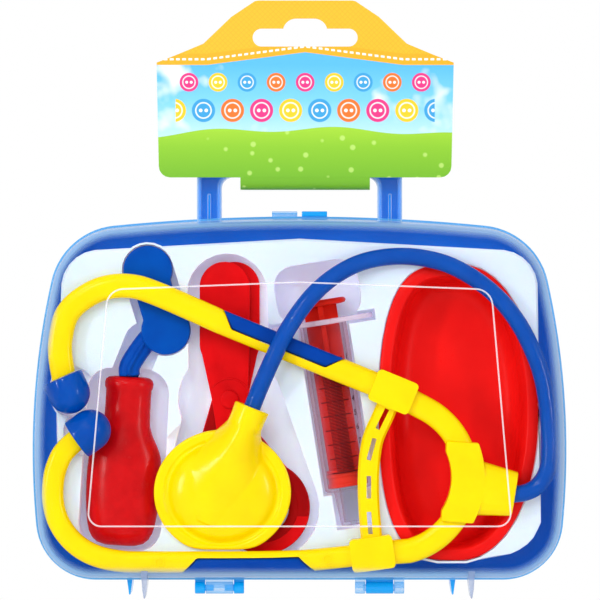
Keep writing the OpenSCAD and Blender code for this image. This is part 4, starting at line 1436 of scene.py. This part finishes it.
    def dome(self) -> Piece:
        """Models the chest piece's flat rim, groove and dome, a little lower than wide.

        Returns:
            The dome.
        """
        form = [(0.4, -1), (30.4, -1), (30.8, -1.4), (30.8, -6.2), (30.5, -6.8), (29.9, -7), (27, -7),
                (26.5, -6.8), (26.1, -6.3), (25.3, -6.0), (24.3, -6.4), (23.4, -7.5), (22.6, -8.5)]
        form += [(r, -5.4 - 8 * math.sqrt(1 - (r / 24.8) ** 2))
                 for r in (21.4, 20, 18, 15.5, 12.5, 9, 5, 0.4)]
        return lathe("dome", form, 96, self.on_dome, smooth=80)

    def shoulders(self) -> Piece:
        """Models the spout and the flask-shaped shoulders that carry it into the dome.

        Returns:
            Their piece.
        """
        ux, uz, size = heading(self.bell_middle, self.spout_end)
        # Distance from the middle of the bell, half width, front, back, and how fast the flanks fall
        form = [(size, 7.8, -19.3, -3.7, 1), (size - 0.3, 8.1, -19.6, -3.4, 1), (31, 7.8, -19.4, -3.6, 1),
                (27.5, 7.9, -19.2, -3.9, 1), (25, 8.8, -19, -4.6, 1.15), (22, 10.4, -18.6, -5, 1.4),
                (18, 12.4, -18, -5.6, 1.8), (13, 14.2, -17, -7.4, 2.1), (7, 15.5, -15.9, -9.5, 2.3),
                (0, 16, -14.9, -10.6, 2.4), (-7, 15, -14.1, -11, 2.5), (-14, 11, -13.4, -11, 2.6),
                (-20, 5, -12.8, -10.8, 2.6)]
        rings = []
        for along, half, front, back, fall in form:
            ring = []
            for a in circle(64, 0.5):
                across, lift = half * math.cos(a), math.sin(a)
                if fall == 1:
                    y = (front + back) / 2 + (front - back) / 2 * lift
                else:
                    y = back + (front - back) * lift ** fall if lift > 0 else back - 0.5 * lift
                ring.append((self.bell_middle[0] + ux * along - uz * across, y,
                             self.bell_middle[1] + uz * along + ux * across))
            rings.append(ring)
        return ring_loft("shoulders", rings, smooth=80)

    def bore(self, piece: Piece) -> Piece:
        """Cuts the hole for the tube's end into the spout.

        Args:
            piece: The chest piece.

        Returns:
            The finished chest piece.
        """
        ux, uz, _ = heading(self.bell_middle, self.spout_end)
        x, z = (c + u * (1 - self.bore_depth / 2) for c, u in zip(self.spout_end, (ux, uz)))
        deselect()
        bpy.ops.mesh.primitive_cylinder_add(vertices=40, radius=4.0 * MM, depth=self.bore_depth * MM,
                                            location=Vector((x, self.spout_y, z)) * MM,
                                            rotation=(0, math.atan2(ux, uz), 0))
        cutter = bpy.context.object
        modify(piece, "BOOLEAN", operation="DIFFERENCE", object=cutter, solver="EXACT")
        finish_piece(piece, "bell_cover", 70)
        bpy.data.objects.remove(cutter)
        return piece

    def bell(self) -> list[Piece]:
        """Models the chest piece: its stepped dome with the spout, and the disc behind it.

        Returns:
            The dressed pieces.
        """
        piece = self.bore(blended("bell_cover", [self.dome(), self.shoulders()], 0.42, 8))
        disc = from_node("chest_diaphragm", "bell_disc", 0.4, 3)
        for vertex in disc.data.vertices:
            x, y, z = vertex.co / MM
            vertex.co = Vector(self.on_dome(x - self.bell_middle[0], z - self.bell_middle[1], y)) * MM
        return [self.yellow(piece, "chest_bell"),
                self.palette.put(disc, "white_plastic", "case", "chest_diaphragm")]

    def tube_path(self) -> list[Point3]:
        """Gives the middle of the blue tube, from the yoke to the chest piece's spout.

        Returns:
            Its points in metres.
        """
        points = [self.tube_exit, (100.5, -10.7, 46.5), (104.8, -10.6, 48.3), (108, -10.5, 51.3),
                  (110.4, -10.3, 55.4), (111.6, -10, 61), (111.8, -9.6, 72), (110.6, -9.4, 87),
                  (108.2, -9.3, 99.5), (104.2, -9.3, 110.3), (98.3, -9.3, 121.8), (90.4, -9.3, 132.2),
                  (80, -9.3, 141.2), (68, -9.3, 148), (57, -9.3, 151.2), (46.6, -9.6, 152.3),
                  (36.2, -10.4, 151.6), (26, -11.6, 149), (16.2, -13.2, 143.8), (7.4, -15, 136.6),
                  (0.2, -16.6, 128), (-6.5, -17.5, 117.6), (-11.9, -17.3, 106.6), (-15.6, -15, 98.4),
                  (-18.4, -12.5, 91.8), (-20.6, -11.5, 86.3)]
        ux, uz, _ = heading(self.bell_middle, self.spout_end)
        x, y, z = self.tube_exit
        first = (x - self.tube_inside, y, z)
        last = (self.spout_end[0] - ux * self.tube_inside, self.spout_y,
                self.spout_end[1] - uz * self.tube_inside)
        return [tuple(c * MM for c in point) for point in (first, *spline(points, 4), last)]

    def tube(self) -> Piece:
        """Returns:
            The tube.
        """
        path = self.tube_path()
        rings = []
        for i, point in enumerate(path):
            a, b = Vector(path[max(i - 1, 0)]), Vector(path[min(i + 1, len(path) - 1)])
            along = (b - a).normalized()
            side = along.cross(Vector((0, 1, 0))).normalized()
            up = along.cross(side)
            radius = self.tube_diameter / 2
            rings.append([Vector(point) / MM + radius * (math.cos(t) * side + math.sin(t) * up)
                          for t in circle(24)])
        piece = ring_loft("tube_run", rings, smooth=80)
        self.palette.put(piece, "tube_vinyl", "case", "stethoscope_tube")
        length = sum(math.dist(a, b) for a, b in zip(path, path[1:]))
        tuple(path[0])
        return piece

    def build(self) -> list[Piece]:
        """Models and dresses the whole stethoscope but its tube.

        Returns:
            Its pieces.
        """
        pieces = [*self.arms(), self.hoop()]
        pieces.append(self.yellow(from_node("headband", "headband_spring", 0.55, 3, 40), "headband"))
        pieces.append(self.yellow(blended("yoke_body", [from_node("yoke", "yoke_body")], 0.45, 6), "yoke"))
        return [*pieces, *self.tips(), *self.bell()]


# Hammer, scissors, syringe and dish

@dataclass
class Hammer:
    """The reflex hammer: a flat two-disc head on a bent neck, in a bottle-shaped grip."""

    palette: Palette
    lower: Point2 = (-60.1, 119.2)
    collar: Point2 = (-76.7, 98)
    tilt: float = 3.4
    head_y: float = 1.9
    grip_y: float = 5.9

    def head(self) -> Piece:
        """Models the head with its neck, ridged along its front.

        Returns:
            The head.
        """
        head = from_node("hammer_head", "hammer_head_moulding")
        x, z = self.lower
        u, v = self.collar
        neck = spline([(x - 4.5, z - 1.0), (x - 8.5, z - 4.0), (x - 12.2, z - 9.5), (u + 0.4, v + 4.5),
                       (u + 0.1, v + 0.8)], 6)
        rings = flat_sweep(neck, self.head_y - 3.4, lambda share: oval(2.2, 3.0, 16, 1.0), 0.5)
        ridge = ring_loft("ridge", rings)
        return blended("hammer_head_moulding", [head, ridge], 0.42, 3)

    def grip(self) -> Piece:
        """Models the grip with its rolled collar.

        Returns:
            The grip.
        """
        # Distance below the collar, half width and half depth
        form = [(6.0, 4.3, 4.3), (0.9, 4.5, 4.5), (-0.1, 5.2, 4.9), (-0.2, 7.2, 5.6), (0.15, 9.2, 6.7),
                (1.1, 10.5, 7.5), (2.6, 11, 8), (4.4, 10.9, 7.95), (5.8, 10.3, 7.7), (9, 10.25, 7.75),
                (16, 10.3, 7.85), (22, 10.6, 8), (26, 12, 8.5), (30, 14, 9), (33, 15.4, 9.25),
                (36, 16.3, 9.4), (42, 16.7, 9.5), (48, 16.8, 9.5), (54, 16.6, 9.45), (60, 16.2, 9.4),
                (66, 15.4, 9.1), (70, 14.4, 8.7), (73, 12.8, 7.6), (75, 10.4, 5.9), (76, 7.0, 3.8)]
        lean = math.radians(self.tilt)
        c, s = math.cos(lean), math.sin(lean)
        rings = [[(self.collar[0] + width * math.cos(-a) * c - drop * s, self.grip_y + deep * math.sin(-a),
                   self.collar[1] - width * math.cos(-a) * s - drop * c) for a in circle(56)]
                 for drop, width, deep in form]
        return ring_loft("hammer_grip", rings, smooth=60)

    def build(self) -> list[Piece]:
        """Models and dresses the hammer and returns its pieces."""
        return [self.palette.put(self.head(), "blue_plastic", "case", "hammer_head"),
                self.palette.put(self.grip(), "grip_red_plastic", "case", "hammer_handle")]


@dataclass
class Scissors:
    """Two crossed blades with finger loops, on one rivet."""

    palette: Palette
    pivot: Point2 = (-31.5, 88)
    loop_middle: Point2 = (-16.2, 39.2)

    def ridge(self, radius: float = 9.4, front: float = 1.3) -> Piece:
        """Models the fine ridge that rings the pivot on the front blade, clear of the bell.

        Args:
            radius: The ridge's radius.
            front: The depth of the blade's front.

        Returns:
            The ridge.
        """
        rings = []
        for i in range(29):
            a = math.radians(20 + 126 * i / 28)
            top = front - 0.35 * min(1.0, min(i, 28 - i) / 3)
            form = ((0.5, front + 0.3), (0.3, top), (-0.3, top), (-0.5, front + 0.3))
            rings.append([(self.pivot[0] + (radius + r) * math.cos(a), y,
                           self.pivot[1] + (radius + r) * math.sin(a)) for r, y in form])
        return ring_loft("ridge", rings, smooth=80)

    def band(self, outer: float = 20.6, width: float = 9.2, front: float = 1.45,
             thick: float = 3.1) -> Piece:
        """Models the rounded inner band of the finger loop, wider than the blade's own.

        Args:
            outer: The band's outer radius.
            width: Its width.
            front: The depth of its front.
            thick: Its thickness.

        Returns:
            The band.
        """
        inner, back = outer - width, front + thick
        form = [(outer, back - 0.1), (outer, front + 0.9), (outer - 0.4, front + 0.2), (outer - 1.1, front),
                (inner + 1.1, front), (inner + 0.4, front + 0.2), (inner, front + 0.9), (inner, back - 0.1),
                (inner + 0.2, back), (outer - 0.2, back), (outer, back - 0.099)]
        x, z = self.loop_middle
        return lathe("band", form, 96, lambda u, v, y: (x + u, y, z + v), capped=False, smooth=60)

    def build(self) -> list[Piece]:
        """Models the blades and the rivet from their solids, and rides each on its own body.

        Returns:
            Their pieces.
        """
        pieces = []
        for node, body in (("scissor_blade_front", "blade_front"), ("scissor_blade_rear", "blade_rear")):
            piece = from_node(node, f"{node}_moulding", 0.8, 4, 40)
            if body == "blade_front":
                piece = joined(piece.name, piece, self.ridge(), self.band())
            pieces.append(self.palette.put(piece, "red_plastic", body, node))
            # Painted shade: the blades' faces below 60 mm get the darker red of the chest piece's shadow
            self.palette.dress_faces(piece, "loop_red_plastic", lambda c, n: c.z < 60)
        rivet = from_node("scissor_rivet", "rivet_head", 0.4, 3, 40)
        return [*pieces, self.palette.put(rivet, "red_plastic", "case", "scissor_rivet")]


@dataclass
class Syringe:
    """The clear barrel with its printed scale, and the red plunger that slides in it."""

    palette: Palette
    top: Point2 = (10.1, 123.8)
    tilt: float = math.radians(9)
    middle_y: float = 6.2
    radius: float = 10.7
    length: float = 77.5
    wall: float = 1.5
    flange: float = 46
    nozzle: float = 16
    first_line: float = -69
    step: float = 0.64

    def place(self, x: float, y: float, z: float) -> Point3:
        """Returns where a point of the upright syringe lies in the case."""
        c, s = math.cos(self.tilt), math.sin(self.tilt)
        return self.top[0] + x * c - z * s, self.middle_y + y, self.top[1] + x * s + z * c

    def turned(self, name: str, form: Sequence[Point2], count: int = 48) -> Piece:
        """Models a round part on the syringe's axis from radii and heights."""
        return lathe(name, form, count, self.place, smooth=40)

    def barrel(self) -> Piece:
        """Models the barrel: tube, shoulder and hollow nozzle.

        Returns:
            The barrel.
        """
        bore, low, end = self.radius - self.wall, -self.length, -self.length - self.nozzle
        form = [(bore, -0.1), (bore, low + self.wall), (4.3, low + self.wall - 0.1), (4.3, end + 1.6),
                (1.5, end + 1.5), (1.5, end), (5.3, end), (5.8, end + 0.5), (6.8, low - 0.6),
                (7.4, low - 0.1), (9.9, low), (self.radius, low + 0.8), (self.radius, -2.4),
                (self.radius + 0.3, -2.2), (self.radius + 0.3, -0.2), (self.radius - 0.2, 0), (bore + 0.3, 0)]
        tube = self.turned("barrel", form)
        # The two caps give way to a lip that bridges the first and last rings
        with editing(tube, "DESELECT"):
            pass
        for face in tube.data.polygons:
            face.select = len(face.vertices) > 8
        bpy.ops.object.mode_set(mode="EDIT")
        bpy.ops.mesh.select_mode(type="FACE")
        bpy.ops.mesh.delete(type="ONLY_FACE")
        bpy.ops.mesh.select_mode(type="EDGE")
        bpy.ops.mesh.select_all(action="DESELECT")
        bpy.ops.mesh.select_non_manifold(extend=False, use_boundary=True, use_wire=False,
                                         use_multi_face=False, use_non_contiguous=False, use_verts=False)
        bpy.ops.mesh.bridge_edge_loops()
        bpy.ops.object.mode_set(mode="OBJECT")
        return finish_piece(tube, "barrel")

    def flange_plate(self) -> Piece:
        """Models the finger flange, a disc with two flat sides and a hole for the barrel.

        Returns:
            The flange.
        """
        reach, flat = self.flange / 2, self.radius - 0.2
        outer = [(reach * math.cos(a), max(-flat, min(flat, reach * math.sin(a)))) for a in circle(64, 0.5)]
        inner = [(self.radius * math.cos(a), self.radius * math.sin(a)) for a in circle(64, 0.5)]
        form = ((inner, -2.2, 0), (outer, -2.2, 0.35), (outer, -1.9, 0), (outer, -0.45, 0),
                (outer, -0.1, 0.35), (inner, -0.1, 0))
        rings = [[self.place(x * (1 - inset / reach), y * (1 - inset / self.radius / 1.2), z)
                  for x, y in points] for points, z, inset in form]
        return ring_loft("flange", rings, capped=False, smooth=50)

    def scale(self) -> list[Piece]:
        """Models the printed scale: a line with ticks at even steps and plain numbers.

        Returns:
            The ticks and the numbers.
        """
        marks, front = [], self.radius + 0.12
        up = Vector((-math.sin(self.tilt), 0, math.cos(self.tilt))) * self.step * MM
        for first, half, thick in ((0, 6.2, 0.45), (1, 3.9, 0.32)):
            level = self.first_line + first * self.step
            form = ((front, -1), (front, 1), (front - 0.16, 1), (front - 0.16, -1))
            rings = [[self.place(x, -math.sqrt(r * r - x * x), level + lift * thick / 2) for r, lift in form]
                     for x in [half * (i / 6 - 1) for i in range(13)]]
            line = ring_loft("line", rings)
            marks.append(line)
            for i in range(first + 1, 81):
                if (i % 10 == 0) == (first == 0):
                    marks.append(copied(line))
                    marks[-1].data.transform(Matrix.Translation(up * (i - first)))
        numbers = []
        for number in range(1, 9):
            deselect()
            x, z = 8.3, self.first_line + self.step * 10 * (9 - number)
            y = -math.sqrt(front * front - x * x)
            bpy.ops.object.text_add(location=Vector(self.place(x, y - 0.02, z)) * MM,
                                    rotation=(math.pi / 2, -self.tilt, math.asin(x / front)))
            text = bpy.context.object
            text.data.body, text.data.size, text.data.extrude = str(number), 3.6 * MM, 0.05 * MM
            text.data.align_x = text.data.align_y = "CENTER"
            bpy.ops.object.convert(target="MESH")
            numbers.append(finish_piece(bpy.context.object, "number"))
        return [joined("scale_ticks", *marks), joined("scale_numbers", *numbers)]

    def plunger(self) -> Piece:
        """Models the plunger: its thumb disc, crossed ribs and foot discs.

        Returns:
            The plunger.
        """
        low = self.wall - self.length + 0.2
        size = 6.7 - low - 6.3
        middle = self.place(0, 0, low + 6.3 + size / 2)
        return joined(
            "plunger_rod",
            self.turned("thumb", [(0.4, 6.2), (9.5, 6.2), (11.4, 6.5), (12, 7.3), (12, 8.0), (11.4, 8.8),
                                  (10.2, 9.0), (0.4, 9.0)]),
            self.turned("foot", [(0.4, low + 6.4), (8.4, low + 6.4), (8.7, low + 6.7), (8.7, low + 7.7),
                                 (8.4, low + 8.0), (0.4, low + 8.0)], 40),
            self.turned("neck", [(0.4, low + 2.5), (2.5, low + 2.5), (2.5, low + 7), (0.4, low + 7)], 24),
            *[rounded_box("rib", (x, y, size), middle, turn=math.degrees(self.tilt))
              for x, y in ((15, 2.4), (2.4, 15))],
            self.turned("web", [(0.4, -24), (6.6, -24), (6.6, -22.8), (0.4, -22.8)], 32))

    def build(self) -> list[Piece]:
        """Models and dresses the syringe, and rides the plunger on its own body.

        Returns:
            Its pieces.
        """
        barrel = joined("barrel_tube", self.barrel(), self.flange_plate())
        self.palette.put(barrel, "syringe_clear_styrene", "case", "syringe_barrel")
        (x, z), c, s = self.top, math.cos(self.tilt), math.sin(self.tilt)
        self.palette.dress_faces(barrel, "flange_clear_styrene",
                                 lambda centre, n: (centre.z - z) * c - (centre.x - x) * s > -2.5)
        marks = [self.palette.put(mark, "scale_ink", "case") for mark in self.scale()]
        plunger = self.palette.put(self.plunger(), "rod_red_plastic", "plunger", "syringe_plunger")
        seal = from_node("piston_seal", "piston_ring", 0.25, 2)
        return [barrel, *marks, plunger, self.palette.put(seal, "seal_rubber", "plunger", "piston_seal")]


@dataclass
class KidneyDish:
    """The red dish: a flat rim round a bowl with soft sides, squarer on its left."""

    palette: Palette
    middle: Point2 = (71.4, 82.3)
    width: float = 71.8
    length: float = 133
    depth: float = 21.6
    rim: float = 5.5
    wall: float = 1.6
    fillet: float = 11
    front: float = -4.6

    def ring(self, inset: float, y: float) -> Ring:
        """Gives the dish's outline.

        Args:
            inset: How far it is drawn in.
            y: Its depth.

        Returns:
            The outline's points.
        """
        points = []
        for a in circle(120):
            c, s = math.cos(a), math.sin(a)
            n, m = (2.1, 2.1) if c > 0 else (3.6, 2.4)
            points.append((self.middle[0] + (self.width / 2 - inset) * power_of(c, 2 / n), y,
                           self.middle[1] + (self.length / 2 - inset) * power_of(s, 2 / m)))
        return points

    def build(self) -> list[Piece]:
        """Models and dresses the dish.

        Returns:
            Its piece.
        """
        back, side = self.front + self.depth, self.rim + self.fillet + 0.4

        def bowl(radius: float) -> list[Ring]:
            """Returns the rings of the bowl's round lower edge, from its side to its floor."""
            return [self.ring(side - radius * math.cos(a), back - self.fillet + radius * math.sin(a))
                    for a in quarter(10)]

        lip = ((self.rim - self.wall + 0.2, self.wall + 1.6), (self.rim - self.wall - 0.6, self.wall + 0.7),
               (1.2, self.wall + 0.5), (0.2, self.wall + 0.4), (0, 1.2), (0.15, 0.5), (0.7, 0),
               (self.rim - 1.4, 0), (self.rim - 0.5, 0.2), (self.rim, 1.0))
        rings = [self.ring(side + 9, back), *reversed(bowl(self.fillet)),
                 *[self.ring(inset, self.front + deep) for inset, deep in lip],
                 *bowl(self.fillet - self.wall), self.ring(side + 9, back - self.wall)]
        piece = ring_loft("dish_bowl", rings, smooth=60)
        return [self.palette.put(piece, "dish_red_plastic", "case", "kidney_dish")]


# Studio

@dataclass(frozen=True)
class Studio:
    """A pale floor, a white surround, soft lamps and the camera in front of the case."""

    distance: float = 1.8
    lens: float = 240
    floor_level: float = -0.26

    def camera(self) -> None:
        """Places the camera at the photograph's height and framing."""
        data = bpy.data.cameras.new("camera")
        data.lens, data.sensor_width, data.clip_end = self.lens, 36, 20
        camera = bpy.data.objects.new("camera", data)
        camera.location = (0.0002, -self.distance, 0.13275)
        camera.rotation_euler = (math.pi / 2, 0, 0)
        bpy.context.scene.collection.objects.link(camera)
        bpy.context.scene.camera = camera

    def floor(self) -> None:
        deselect()
        bpy.ops.mesh.primitive_plane_add(size=6, location=(0, 0, self.floor_level))
        floor = bpy.context.object
        floor.name = "studio_floor"
        made, w, put = started("studio_floor")
        put({"Base Color": (0.93, 0.93, 0.93, 1), "Roughness": 0.9})
        # White where the camera, gloss or glass sees it, and still shaded a little
        nodes = made.node_tree.nodes
        glow = w.add("Emission", {"Color": WHITE, "Strength": 1.08})
        mixed = w.add("MixShader", {0: w.seen() * 0.88, 1: nodes["Principled BSDF"].outputs["BSDF"],
                                    2: glow.outputs["Emission"]})
        w.join(mixed.outputs["Shader"], nodes["Material Output"].inputs["Surface"])
        floor.data.materials.append(made)

    def lamp(self, name: str, place: Point3, aim: Point3, size: float, power: float, tall: float = 0.0,
             mirrored: bool = True) -> None:
        """Adds a soft lamp that faces a point.

        Args:
            name: The lamp's name.
            place: Where it stands.
            aim: What it faces.
            size: Its width.
            power: Its power in watts.
            tall: Its height, or 0 for a square one.
            mirrored: Whether glossy pieces mirror it.
        """
        data = bpy.data.lights.new(name, "AREA")
        data.size, data.energy = size, power
        if tall:
            data.shape, data.size_y = "RECTANGLE", tall
        lamp = bpy.data.objects.new(name, data)
        lamp.visible_glossy = mirrored
        lamp.location = place
        lamp.rotation_euler = (Vector(aim) - Vector(place)).to_track_quat("-Z", "Y").to_euler()
        bpy.context.scene.collection.objects.link(lamp)

    def surround(self) -> None:
        """Sets the world: white where it is seen, and a soft grey light otherwise."""
        world = bpy.data.worlds.new("surround")
        bpy.context.scene.world = world
        world.use_nodes = True
        w = Wires(world.node_tree)
        background = world.node_tree.nodes["Background"]
        w.join(WHITE, background.inputs["Color"])
        w.join(w.seen() * 0.57 + 0.43, background.inputs["Strength"])

    def build(self) -> None:
        """Builds the whole studio apart from the camera."""
        self.floor()
        self.surround()
        self.lamp("key", (-0.9, -1.5, 1.3), (0, 0, 0.1), 0.35, 5)
        self.lamp("spark", (-0.45, -1.75, 0.75), (0, 0, 0.1), 0.1, 2.4)
        self.lamp("left_strip", (-1.3, -1.3, 0.3), (0, 0, 0.3), 0.08, 7.5, 0.56)
        self.lamp("right_strip", (1.4, -1.2, 0.3), (0, 0, 0.3), 0.08, 6, 0.56)
        self.lamp("front", (-0.2, -2.1, 1.0), (0, 0, 0.1), 1.1, 12, mirrored=False)
        self.lamp("top", (0, 0.3, 1.8), (0, 0, 0.1), 1.0, 5, mirrored=False)
        bpy.context.scene.view_settings.view_transform = "Standard"


def main() -> None:
    """Builds the case, its toys and the studio in order."""
    logging.basicConfig(level=logging.INFO, format="%(name)s: %(message)s")
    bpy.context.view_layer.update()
    studio = Studio()
    studio.camera()
    palette = Palette()
    stethoscope = Stethoscope(palette)
    cord = stethoscope.tube()
    log.info("%s: %d faces", cord.name, len(cord.data.polygons))
    for assembly in (ShellHalf(Side.BACK, palette), ShellHalf(Side.LID, palette), Tray(palette),
                     HeaderCard(palette), stethoscope, Hammer(palette), Scissors(palette), Syringe(palette),
                     KidneyDish(palette)):
        for piece in assembly.build():
            log.info("%s: %d faces", piece.name, len(piece.data.polygons))
    studio.build()


if __name__ == "__main__":
    main()
